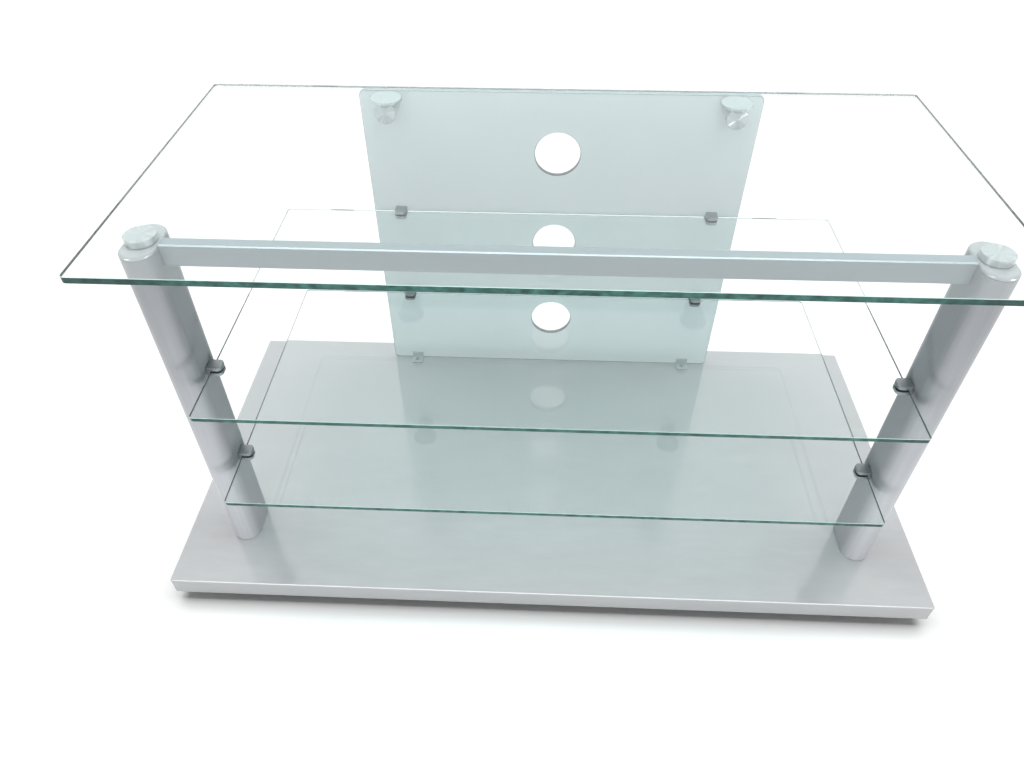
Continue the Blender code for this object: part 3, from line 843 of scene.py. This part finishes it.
@dataclass
class Assembly:
    """A group of pieces of one kind, with the finishes that they share."""

    finishes: FinishSet

    def publish(
        self,
        node: str,
        shape: BMesh,
        materials: Sequence[Material],
        slot: Slot,
        body: str = STAND,
    ) -> bpy.types.Object:
        """Turn a shape into a piece that stands for a CAD node.

        Args:
            node: CAD node that the piece replaces.
            shape: The piece's shape, at its place.
            materials: Materials in the order of the faces' material numbers.
            slot: Material slot of the record; not used.
            body: Body that the piece rides on.

        Returns:
            The new piece.
        """
        name = node + "_dressed"
        piece = mesh_object(name, shape)
        mesh = piece.data
        mesh.shade_smooth()
        mesh.set_sharp_from_angle(angle=SMOOTH_ANGLE)
        for material in materials:
            mesh.materials.append(material)
        even_flats = piece.modifiers.new("even_flats", "WEIGHTED_NORMAL")
        even_flats.keep_sharp = True
        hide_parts(node)
        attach(piece, body)
        LOG.info("%s: %d faces, rides on %s", name, len(mesh.polygons), body)
        return piece


@dataclass
class BaseBoard(Assembly):
    """The silver board that everything stands on."""

    corner: float = 0.003
    corner_steps: int = 4
    edge: float = 0.001

    def build(self) -> bpy.types.Object:
        """Model the board with rounded corners and chamfered edges.

        Returns:
            The board.
        """
        shape = block(*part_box("base_board"))
        soften(shape, edges_along(shape, Axis.Z), self.corner, self.corner_steps)
        soften(shape, sharp_edges(shape), self.edge)
        return self.publish("base_board", shape, [self.finishes.board], Slot.BOARD)


@dataclass
class Posts(Assembly):
    """The two oblong posts with their caps and the pucks under the top glass."""

    round_steps: int = 20
    end_edge: float = 0.0004
    end_steps: int = 2
    seam: float = 0.0003
    cap_shoulder: float = 0.0035
    shoulder_steps: int = 8
    spigot_inset: float = 0.003
    puck_edge: float = 0.0008
    puck_edge_steps: int = 3
    puck_steps: int = 96
    puck_slope: float = 0.16
    groove: float = 0.0005
    groove_depth: float = 0.001
    tubes: list[bpy.types.Object] = field(default_factory=list)
    polished: list[bpy.types.Object] = field(default_factory=list)

    def oblong(self, low: Vector, high: Vector) -> BMesh:
        """Make an upright bar of oblong section.

        Args:
            low: Lowest corner.
            high: Highest corner.

        Returns:
            The bar.
        """
        shape = block(low, high)
        radius = (high.x - low.x) * NEARLY_HALF
        soften(shape, edges_along(shape, Axis.Z), radius, self.round_steps)
        bmesh.ops.remove_doubles(shape, verts=shape.verts, dist=SEAM)
        return shape

    def build(self) -> None:
        """Model both posts from the board up."""
        for side in Side:
            self.tubes.append(self.build_post(side))
            self.polished += [self.build_cap(side), self.build_puck(side)]

    def build_post(self, side: Side) -> bpy.types.Object:
        """Model one post tube.

        Args:
            side: Side of the stand.

        Returns:
            The tube.
        """
        node = side.value + "_post"
        shape = self.oblong(*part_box(node))
        soften(shape, sharp_edges(shape), self.end_edge, self.end_steps)
        return self.publish(node, shape, [self.finishes.post], Slot.SATIN)

    def build_cap(self, side: Side) -> bpy.types.Object:
        """Model one cap: a rounded shoulder above and a spigot that sits in the tube.

        Args:
            side: Side of the stand.

        Returns:
            The cap.
        """
        node = side.value + "_post_cap"
        low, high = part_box(node)
        rim = Vector((low.x, low.y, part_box(side.value + "_post")[1].z + self.seam))
        shape = self.oblong(rim, high)
        top = sharp_edges(shape, above=high.z - WELD)
        soften(shape, top, self.cap_shoulder, self.shoulder_steps)
        under = [face for face in shape.faces if face.normal.z < -FACING]
        bmesh.ops.inset_region(shape, faces=under, thickness=self.spigot_inset)
        grown = bmesh.ops.extrude_face_region(shape, geom=under)
        bmesh.ops.delete(shape, geom=under, context="FACES")
        ends = [item for item in grown["geom"] if isinstance(item, bmesh.types.BMVert)]
        bmesh.ops.translate(shape, vec=Vector((0, 0, low.z - rim.z)), verts=ends)
        return self.publish(node, shape, [self.finishes.cap], Slot.SATIN)

    def build_puck(self, side: Side) -> bpy.types.Object:
        """Model one turned puck with a faced top and a shadow groove at its foot.

        Args:
            side: Side of the stand.

        Returns:
            The puck.
        """
        node = side.value + "_puck"
        low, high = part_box(node)
        radius = (high.x - low.x) / 2
        waist, lip = radius - self.groove_depth, low.z + self.groove
        profile = [(0, low.z), (waist, low.z), (waist, lip), (radius, lip), (radius, high.z), (0, high.z)]
        shape = spun(profile, self.puck_steps)
        top = sharp_edges(shape, above=high.z - WELD)
        soften(shape, top, self.puck_edge, self.puck_edge_steps)
        moved(shape, floor_point(node))
        turned = SpunMetal(node + "_spun", tuple(middle(node)), Axis.Z, self.puck_slope).material()
        return self.publish(node, shape, [turned], Slot.SPUN)


@dataclass
class Crossbar(Assembly):
    """The rectangular bar between the posts."""

    edge: float = 0.0014

    def build(self) -> bpy.types.Object:
        """Model the bar with chamfered long edges.

        Returns:
            The bar.
        """
        shape = block(*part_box("crossbar"))
        soften(shape, edges_along(shape, Axis.X), self.edge)
        return self.publish("crossbar", shape, [self.finishes.bar], Slot.SATIN)


@dataclass
class GlassPlates(Assembly):
    """The clear top and the two clear shelves."""

    corner: float = 0.006
    corner_steps: int = 8
    arris: float = 0.00045

    def build(self) -> None:
        """Model the three plates."""
        for node in ("top_glass", "upper_shelf", "lower_shelf"):
            self.build_plate(node)

    def build_plate(self, node: str) -> None:
        """Model one plate with rounded corners and polished edges.

        Args:
            node: CAD node of the plate.
        """
        shape = block(*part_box(node))
        soften(shape, edges_along(shape, Axis.Z), self.corner, self.corner_steps)
        soften(shape, sharp_edges(shape), self.arris)
        for face in shape.faces:
            face.material_index = self.kind_of(face.normal).value
        shown = self.finishes
        rear = shown.rear_edge if node == "top_glass" else shown.edge
        finishes = [shown.clear, shown.edge, shown.arris, shown.side_edges[node], rear]
        self.publish(node, shape, finishes, Slot.CLEAR)

    @staticmethod
    def kind_of(normal: Vector) -> PlateFace:
        """Tell which face of a plate looks in a direction.

        Args:
            normal: The face's outward direction.

        Returns:
            The kind of face. Only the front edge has an arris of its own.
        """
        if abs(normal.z) > FACING:
            return PlateFace.CLEAR
        if abs(normal.x) > abs(normal.y):
            return PlateFace.SIDE
        if normal.y > 0:
            return PlateFace.REAR
        return PlateFace.FRONT if abs(normal.z) < ALONG else PlateFace.ARRIS


@dataclass
class RearPanel(Assembly):
    """The frosted panel with its three cable holes."""

    corner: float = 0.009
    corner_steps: int = 6
    arris: float = 0.0008
    hole_radius: float = 0.035
    hole_steps: int = 96

    def build(self, holes: Sequence[Vector]) -> None:
        """Model the panel and bore its holes.

        Args:
            holes: Centres of the cable holes.
        """
        low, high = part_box("rear_panel")
        shape = block(low, high)
        soften(shape, edges_along(shape, Axis.Y), self.corner, self.corner_steps)
        reach = high.y - low.y
        bore = [(0, -reach), (self.hole_radius, -reach), (self.hole_radius, reach), (0, reach)]
        for centre in holes:
            drill = moved(spun(bore, self.hole_steps), centre, Matrix.Rotation(QUARTER_TURN, 3, "X"))
            shape = put_together(shape, drill, Join.CUT)
        soften(shape, sharp_edges(shape), self.arris)
        for face in shape.faces:
            face.material_index = self.kind_of(face, holes).value
        shown = self.finishes
        finishes = [shown.frosted, shown.panel_edge, shown.panel_arris, shown.shaded_hole_wall]
        self.publish("rear_panel", shape, finishes, Slot.FROSTED)

    def kind_of(self, face: bmesh.types.BMFace, holes: Sequence[Vector]) -> PanelFace:
        """Tell which kind of face of the panel one is.

        Args:
            face: The face.
            holes: Centres of the cable holes.

        Returns:
            The kind of face. The holes' rims count as their walls.
        """
        lean = abs(face.normal.y)
        if lean > FACING:
            return PanelFace.FROSTED
        offsets = [face.calc_center_median() - hole for hole in holes]
        if any(offset.xz.length < self.hole_radius + 2 * self.arris for offset in offsets):
            return PanelFace.HOLE
        return PanelFace.EDGE if lean < ALONG else PanelFace.ARRIS


@dataclass
class Clips(Assembly):
    """Round-nosed slotted clips that hold the shelves on the posts and the panel."""

    reach: float = 0.019
    width: float = 0.018
    height: float = 0.0166
    slot: float = 0.0066
    back: float = 0.0045
    edge: float = 0.0011
    edge_steps: int = 3
    nose: float = 0.0055
    nose_steps: int = 8

    def pattern(self) -> BMesh:
        """Model one clip on its back face, pointing along +X.

        Returns:
            The clip.
        """
        half = Vector((0, self.width / 2, self.height / 2))
        shape = block(-half, half + Vector((self.reach, 0, 0)))
        nose = [edge for edge in edges_along(shape, Axis.Z) if edge.verts[0].co.x > self.back]
        soften(shape, nose, self.nose, self.nose_steps)
        upright = edges_along(shape, Axis.Z)
        rims = [edge for edge in sharp_edges(shape) if edge not in upright]
        free = [edge for edge in rims if max(vert.co.x for vert in edge.verts) > WELD]
        soften(shape, free, self.edge, self.edge_steps)
        far = Vector((2 * self.reach, self.width, self.slot / 2))
        saw = block(Vector((self.back, -self.width, -self.slot / 2)), far)
        return put_together(shape, saw, Join.CUT)

    def build(self) -> None:
        """Model the eight clips."""
        for level in Level:
            for side in Side:
                place = f"{level.value}_{side.value}"
                self.build_clip("post_clip_" + place, 0.0 if side is Side.LEFT else math.pi)
                self.build_clip("panel_clip_" + place, -QUARTER_TURN)

    def build_clip(self, node: str, facing: float) -> None:
        """Place one clip.

        Args:
            node: CAD node of the clip.
            facing: Turn about Z from pointing along +X.
        """
        turned = Matrix.Rotation(facing, 3, "Z")
        back = middle(node) - turned @ Vector((self.reach / 2, 0, 0))
        self.publish(node, moved(self.pattern(), back, turned), [self.finishes.clip], Slot.CLIP)


@dataclass
class TopBrackets(Assembly):
    """Turned brackets that carry the rear of the top glass on the panel."""

    plate_radius: float = 0.023
    plate: float = 0.004
    neck_radius: float = 0.012
    boss_radius: float = 0.0155
    boss_reach: float = 0.043
    drop: float = 0.0162
    edge: float = 0.001
    edge_steps: int = 3
    steps: int = 80
    slope: float = 0.5
    # Light and dark ends of the brackets' painted highlight fan
    light: Colour = screen(206, 214, 215)
    dark: Colour = screen(166, 175, 177)
    metallic: float = 0.9

    def build(self) -> list[bpy.types.Object]:
        """Model both brackets and return them."""
        return [self.build_bracket("top_bracket_" + side.value) for side in Side]

    def build_bracket(self, node: str) -> bpy.types.Object:
        """Model one bracket: a cone under a round plate, joined to a level boss.

        Args:
            node: CAD node of the bracket.

        Returns:
            The bracket.
        """
        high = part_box(node)[1]
        x = middle(node).x
        cone = [(0, 0), (self.plate_radius, 0), (self.plate_radius, -self.plate)]
        cone += [(self.neck_radius, -self.drop), (0, -self.drop)]
        upper = spun(cone, self.steps)
        soften(upper, sharp_edges(upper, above=-self.plate - WELD), self.edge, self.edge_steps)
        moved(upper, Vector((x, high.y - self.plate_radius, high.z)))
        barrel = [(0, 0), (self.boss_radius, 0)]
        barrel += [(self.boss_radius, self.boss_reach), (0, self.boss_reach)]
        boss = spun(barrel, self.steps)
        soften(boss, sharp_edges(boss, above=WELD), self.edge, self.edge_steps)
        centre = Vector((x, high.y, high.z - self.drop))
        moved(boss, centre, Matrix.Rotation(QUARTER_TURN, 3, "X"))
        shape = put_together(upper, boss, Join.ADD)
        for face in shape.faces:
            on_top = face.calc_center_median().z > high.z - WELD
            face.material_index = int(on_top and face.normal.z > FACING)
        turned = SpunMetal(
            node + "_spun", tuple(centre), Axis.Y, self.slope, self.light, self.dark, self.metallic
        )
        return self.publish(node, shape, [turned.material(), self.finishes.plate], Slot.SPUN)


@dataclass
class PanelAngles(Assembly):
    """Small folded angles at the foot of the panel, each with its screw."""

    sheet: float = 0.002
    edge: float = 0.0005
    edge_steps: int = 2
    head_radius: float = 0.0035
    head: float = 0.0018
    crown_share: float = 0.6
    crown_drop: float = 0.12
    shoulder_drop: float = 0.75
    shank_radius: float = 0.0018
    steps: int = 32

    def build(self) -> None:
        """Model both angles and their screws."""
        for side in Side:
            node = "panel_angle_" + side.value
            low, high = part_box(node)
            leg = block(low, Vector((high.x, high.y, low.z + self.sheet)))
            wing = block(Vector((low.x, high.y - self.sheet, low.z)), high)
            shape = put_together(leg, wing, Join.ADD)
            soften(shape, sharp_edges(shape), self.edge, self.edge_steps)
            self.publish(node, shape, [self.finishes.plate], Slot.CLIP)
            self.build_screw("angle_screw_" + side.value)

    def build_screw(self, node: str) -> None:
        """Model one round-headed screw.

        Args:
            node: CAD node of the screw.
        """
        low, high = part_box(node)
        seat = high.z - self.head
        crown = (self.head_radius * self.crown_share, high.z - self.head * self.crown_drop)
        shoulder = (self.head_radius, high.z - self.head * self.shoulder_drop)
        profile = [(0, high.z), crown, shoulder, (self.head_radius, seat)]
        profile += [(self.shank_radius, seat), (self.shank_radius, low.z), (0, low.z)]
        shape = moved(spun(profile, self.steps), floor_point(node))
        self.publish(node, shape, [self.finishes.steel], Slot.STEEL)


@dataclass
class RearScrews(Assembly):
    """Screws and bolts whose round heads show on the back of the panel."""

    bolt_head: float = 0.003
    bolt_shank: float = 0.003
    screw_head: float = 0.0025
    screw_shank: float = 0.002
    edge: float = 0.0006
    edge_steps: int = 3
    steps: int = 48

    def build(self) -> None:
        """Model the clip screws and the bracket bolts."""
        for side in Side:
            self.build_screw("top_bracket_bolt_" + side.value, self.bolt_head, self.bolt_shank)
            for level in Level:
                node = f"panel_clip_screw_{level.value}_{side.value}"
                self.build_screw(node, self.screw_head, self.screw_shank)

    def build_screw(self, node: str, head: float, shank_radius: float) -> None:
        """Model one screw along Y with its head to the rear.

        Args:
            node: CAD node of the screw.
            head: Height of the head.
            shank_radius: Radius of the shank.
        """
        low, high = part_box(node)
        radius = (high.x - low.x) / 2
        length = high.y - low.y
        profile = [(0, 0), (radius, 0), (radius, -head), (shank_radius, -head)]
        profile += [(shank_radius, -length), (0, -length)]
        shape = spun(profile, self.steps)
        soften(shape, sharp_edges(shape, above=-WELD), self.edge, self.edge_steps)
        centre = middle(node)
        place = Vector((centre.x, high.y, centre.z))
        moved(shape, place, Matrix.Rotation(-QUARTER_TURN, 3, "X"))
        self.publish(node, shape, [self.finishes.steel], Slot.STEEL)


@dataclass
class Feet(Assembly):
    """The four levelling feet, each on its own sliding body."""

    pad_radius: float = 0.020
    neck_radius: float = 0.013
    stem_radius: float = 0.004
    pad_top: float = 0.0174
    edge: float = 0.0015
    edge_steps: int = 4
    steps: int = 64

    def build(self) -> None:
        """Model the feet under the board's corners."""
        for end in End:
            for side in Side:
                corner = f"{end.value}_{side.value}"
                self.build_foot("foot_" + corner, corner + "_foot")

    def build_foot(self, node: str, body: str) -> None:
        """Model one foot.

        Args:
            node: CAD node of the foot.
            body: Sliding body of the foot.
        """
        low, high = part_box(node)
        profile = [
            (0, high.z),
            (self.stem_radius, high.z),
            (self.stem_radius, self.pad_top),
            (self.neck_radius, self.pad_top),
            (self.neck_radius, self.pad_top - self.edge),
            (self.pad_radius, self.pad_top / 2),
            (self.pad_radius, low.z),
            (0, low.z),
        ]
        shape = spun(profile, self.steps)
        soften(shape, sharp_edges(shape, below=low.z + WELD), self.edge, self.edge_steps)
        moved(shape, floor_point(node))
        self.publish(node, shape, [self.finishes.plastic], Slot.PLASTIC, body)


@dataclass
class HiddenHardware(Assembly):
    """CAD nodes that keep their own shape and only take a finish."""

    def dress(self, nodes: dict[str, bpy.types.Object], shown: Iterable[str]) -> None:
        """Give every node that no piece replaces its steel finish.

        Args:
            nodes: CAD nodes by name.
            shown: Names of the nodes that pieces stand for.
        """
        replaced = set(shown)
        for name, node in nodes.items():
            if name in replaced:
                continue
            for slot in node.material_slots:
                slot.material = self.finishes.steel
            LOG.info("%s: CAD shape, steel finish", name)


class Group(Enum):
    """Pieces that some lamps spare, or that have lamps of their own."""

    FLOOR = "floor"
    BOARD = "board"
    POSTS = "posts"
    BAR = "bar"
    POLISHED = "turned and polished metal"


class Reach(Enum):
    """How a lamp treats the pieces that are named for it."""

    ONLY = "INCLUDE"
    ALL_BUT = "EXCLUDE"


@dataclass(frozen=True)
class Softbox:
    """A rectangular studio lamp for the matt part of surfaces or, mirrored, for their gloss alone.

    A lamp may light one group alone, or spare some.
    """

    name: str
    place: Triple
    target: Triple
    size: tuple[float, float]
    power: float
    mirrored: bool = False
    only: Group | None = None
    spares: tuple[Group, ...] = ()


@dataclass(frozen=True)
class Gleam(Softbox):
    """A lamp that only shows as a gleam."""

    mirrored: bool = True


@dataclass
class Studio:
    """Plain pale floor, soft lamps, white surroundings and the photograph's camera."""

    floor_size: float = 40.0
    floor_colour: Colour = (0.90, 0.90, 0.90)
    floor_far: float = 1.1
    clear_from: float = 1.1
    clear_to: float = 2.2
    ambient: float = 0.25
    lens: float = 26.816
    sensor: float = 36.0
    nearest: float = 0.01
    eye: Triple = (-0.02253, -0.86039, 1.02349)
    yaw: float = math.radians(-2.538)
    pitch: float = math.radians(43.380)
    roll: float = math.radians(-0.160)
    lamps: tuple[Softbox, ...] = (
        Softbox(
            "ceiling_softbox",
            (0.0, 0.445, 3.0),
            (0.0, 0.445, 0.0),
            (5.0, 2.29),
            163.0,
            spares=(Group.POSTS,),
        ),
        Softbox(
            "front_fill",
            (0.0, -2.6, 1.6),
            (0.0, 0.0, 0.25),
            (2.5, 2.5),
            50.0,
            spares=(Group.FLOOR, Group.POSTS),
        ),
        Softbox("post_strip", (0.0, -0.6, 0.12), (0.0, 0.2, 0.12), (1.5, 0.06), 5.1, only=Group.POSTS),
        Softbox("post_back", (0.0, 2.0, 0.6), (0.0, -0.17, 0.3), (2.0, 1.0), 25.0, only=Group.POSTS),
        Softbox("post_left", (-1.05, -0.17, 0.3), (-0.5, -0.17, 0.3), (0.3, 0.5), 1.1, only=Group.POSTS),
        Softbox("post_right", (1.05, -0.17, 0.3), (0.5, -0.17, 0.3), (0.3, 0.5), 1.1, only=Group.POSTS),
        Gleam("board_strip", (0.0, -3.0, 1.71), (0.0, -0.27, 0.05), (4.4, 0.8), 34.0, only=Group.BOARD),
        Gleam("bar_strip", (0.0, -1.87, 3.04), (0.0, -0.18, 0.56), (4.4, 0.7), 210.0, only=Group.BAR),
        Gleam(
            "left_sheen", (-2.21, -1.86, 1.15), (-0.25, 0.19, 0.55), (0.8, 0.8), 65.0, only=Group.POLISHED
        ),
        Gleam("right_sheen", (2.5, -1.6, 0.92), (0.25, 0.19, 0.55), (0.8, 0.8), 65.0, only=Group.POLISHED),
    )

    def build(self, pieces: dict[Group, Sequence[bpy.types.Object]]) -> None:
        """Set up the studio.

        Args:
            pieces: The stand's groups of pieces.
        """
        self.build_world()
        groups = {Group.FLOOR: [self.build_floor()], **pieces}
        for softbox in self.lamps:
            lamp = self.add_lamp(softbox)
            if softbox.only:
                self.limit(lamp, groups[softbox.only], Reach.ONLY)
            elif softbox.spares:
                spared = [piece for group in softbox.spares for piece in groups[group]]
                self.limit(lamp, spared, Reach.ALL_BUT)
        self.build_camera()
        bpy.context.scene.view_settings.view_transform = "Standard"

    @staticmethod
    def seen(sheet: NodeSheet) -> Socket:
        """Share of 1 for rays that show the background, and 0 for light on surfaces.

        Args:
            sheet: Tree that takes the nodes.

        Returns:
            The share.
        """
        path = sheet.add("LightPath").outputs
        both = sheet.math("MAXIMUM", path["Is Camera Ray"], path["Is Glossy Ray"])
        return sheet.math("MAXIMUM", both, path["Is Transmission Ray"])

    def build_world(self) -> None:
        """White surroundings, with a plainer level for the light on surfaces."""
        world = bpy.data.worlds.new("white_room")
        world.use_nodes = True
        bpy.context.scene.world = world
        sheet = NodeSheet(world.node_tree)
        strength = sheet.spread(self.seen(sheet), self.ambient, 1.0, WHOLE)
        light = sheet.shader("Background", Color=WHITE, Strength=strength)
        sheet.add("OutputWorld", {"Surface": light})

    def build_floor(self) -> bpy.types.Object:
        """Lay the pale floor, which keeps the stand's shadow and turns plain white away from it.

        Returns:
            The floor.
        """
        shape = bmesh.new()
        bmesh.ops.create_grid(shape, x_segments=1, y_segments=1, size=self.floor_size / 2)
        floor = mesh_object("studio_floor", shape)
        floor.data.materials.append(self.floor_material())
        return floor

    def floor_material(self) -> Material:
        """Make the floor's material.

        Returns:
            The material.
        """
        sheet = MaterialSheet("studio_floor")
        away = sheet.spread(sheet.length(sheet.place()), *WHOLE, (self.clear_from, self.clear_to))
        seen = self.seen(sheet)
        near, unseen = (sheet.math("SUBTRACT", 1.0, share) for share in (away, seen))
        shown = sheet.math("MULTIPLY", sheet.math("MULTIPLY", away, self.floor_far), seen)
        glow = sheet.shader("Emission", Color=WHITE, Strength=shown)
        plain = sheet.shader("BsdfDiffuse", Color=self.floor_colour)
        nothing = sheet.shader("BsdfDiffuse", Color=BLACK)
        faded = sheet.mix(sheet.math("MAXIMUM", near, unseen), nothing, plain)
        return sheet.close(Surface=sheet.add("AddShader", {0: faded, 1: glow}).outputs[0])

    @staticmethod
    def limit(lamp: bpy.types.Object, pieces: Sequence[bpy.types.Object], reach: Reach) -> None:
        """Let a lamp light only some pieces, or all but those.

        Args:
            lamp: The lamp.
            pieces: Pieces that are named.
            reach: Those alone, or all but those.
        """
        group = bpy.data.collections.new(lamp.name + "_pieces")
        for number, piece in enumerate(pieces):
            group.objects.link(piece)
            group.collection_objects[number].light_linking.link_state = reach.value
        lamp.light_linking.receiver_collection = group

    @staticmethod
    def add_lamp(softbox: Softbox) -> bpy.types.Object:
        """Hang one softbox.

        Args:
            softbox: The lamp to hang.

        Returns:
            The lamp's object.
        """
        data = bpy.data.lights.new(softbox.name, "AREA")
        data.shape = "RECTANGLE"
        data.size, data.size_y = softbox.size
        data.energy = softbox.power
        lamp = linked(softbox.name, data)
        lamp.visible_camera = False
        lamp.visible_diffuse = not softbox.mirrored
        lamp.visible_glossy = softbox.mirrored
        lamp.visible_transmission = softbox.mirrored
        aim = Vector(softbox.target) - Vector(softbox.place)
        turn = aim.to_track_quat("-Z", "Y").to_matrix().to_4x4()
        lamp.matrix_world = Matrix.Translation(softbox.place) @ turn
        return lamp

    def build_camera(self) -> None:
        """Stand the camera at the photograph's place."""
        data = bpy.data.cameras.new("photo_camera")
        data.sensor_fit = "HORIZONTAL"
        data.sensor_width = self.sensor
        data.lens = self.lens
        data.clip_start = self.nearest
        ahead = Vector((
            math.sin(self.yaw) * math.cos(self.pitch),
            math.cos(self.yaw) * math.cos(self.pitch),
            -math.sin(self.pitch),
        ))
        level = Vector((math.cos(self.yaw), -math.sin(self.yaw), 0.0))
        above = level.cross(ahead)
        right = level * math.cos(self.roll) + above * math.sin(self.roll)
        up = above * math.cos(self.roll) - level * math.sin(self.roll)
        camera = linked("photo_camera", data)
        turn = Matrix((right, up, -ahead)).transposed().to_4x4()
        camera.matrix_world = Matrix.Translation(self.eye) @ turn
        bpy.context.scene.camera = camera


def hole_centres(record: dict) -> list[Vector]:
    """Read the cable holes' centres from the record's openings.

    Args:
        record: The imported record.

    Returns:
        One centre per hole.
    """
    boxes = [
        opening["box_m"]
        for opening in record["physics"]["openings"]
        if opening["name"].endswith("cable_hole")
    ]
    return [(Vector(low) + Vector(high)) / 2 for low, high in boxes]


def main() -> None:
    """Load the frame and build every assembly."""
    logging.basicConfig(level=logging.INFO, format="%(name)s %(message)s")
    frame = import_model()
    finishes = FinishSet.make()
    board = BaseBoard(finishes).build()
    posts = Posts(finishes)
    posts.build()
    bar = Crossbar(finishes).build()
    GlassPlates(finishes).build()
    RearPanel(finishes).build(hole_centres(frame["record"]))
    Clips(finishes).build()
    brackets = TopBrackets(finishes).build()
    PanelAngles(finishes).build()
    RearScrews(finishes).build()
    Feet(finishes).build()
    pieces = [name for name in frame["nodes"] if name + "_dressed" in bpy.data.objects]
    HiddenHardware(finishes).dress(frame["nodes"], pieces)
    groups = {Group.BOARD: [board], Group.POSTS: posts.tubes, Group.BAR: [bar]}
    groups[Group.POLISHED] = posts.polished + brackets
    Studio().build(groups)
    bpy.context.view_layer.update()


if __name__ == "__main__":
    main()
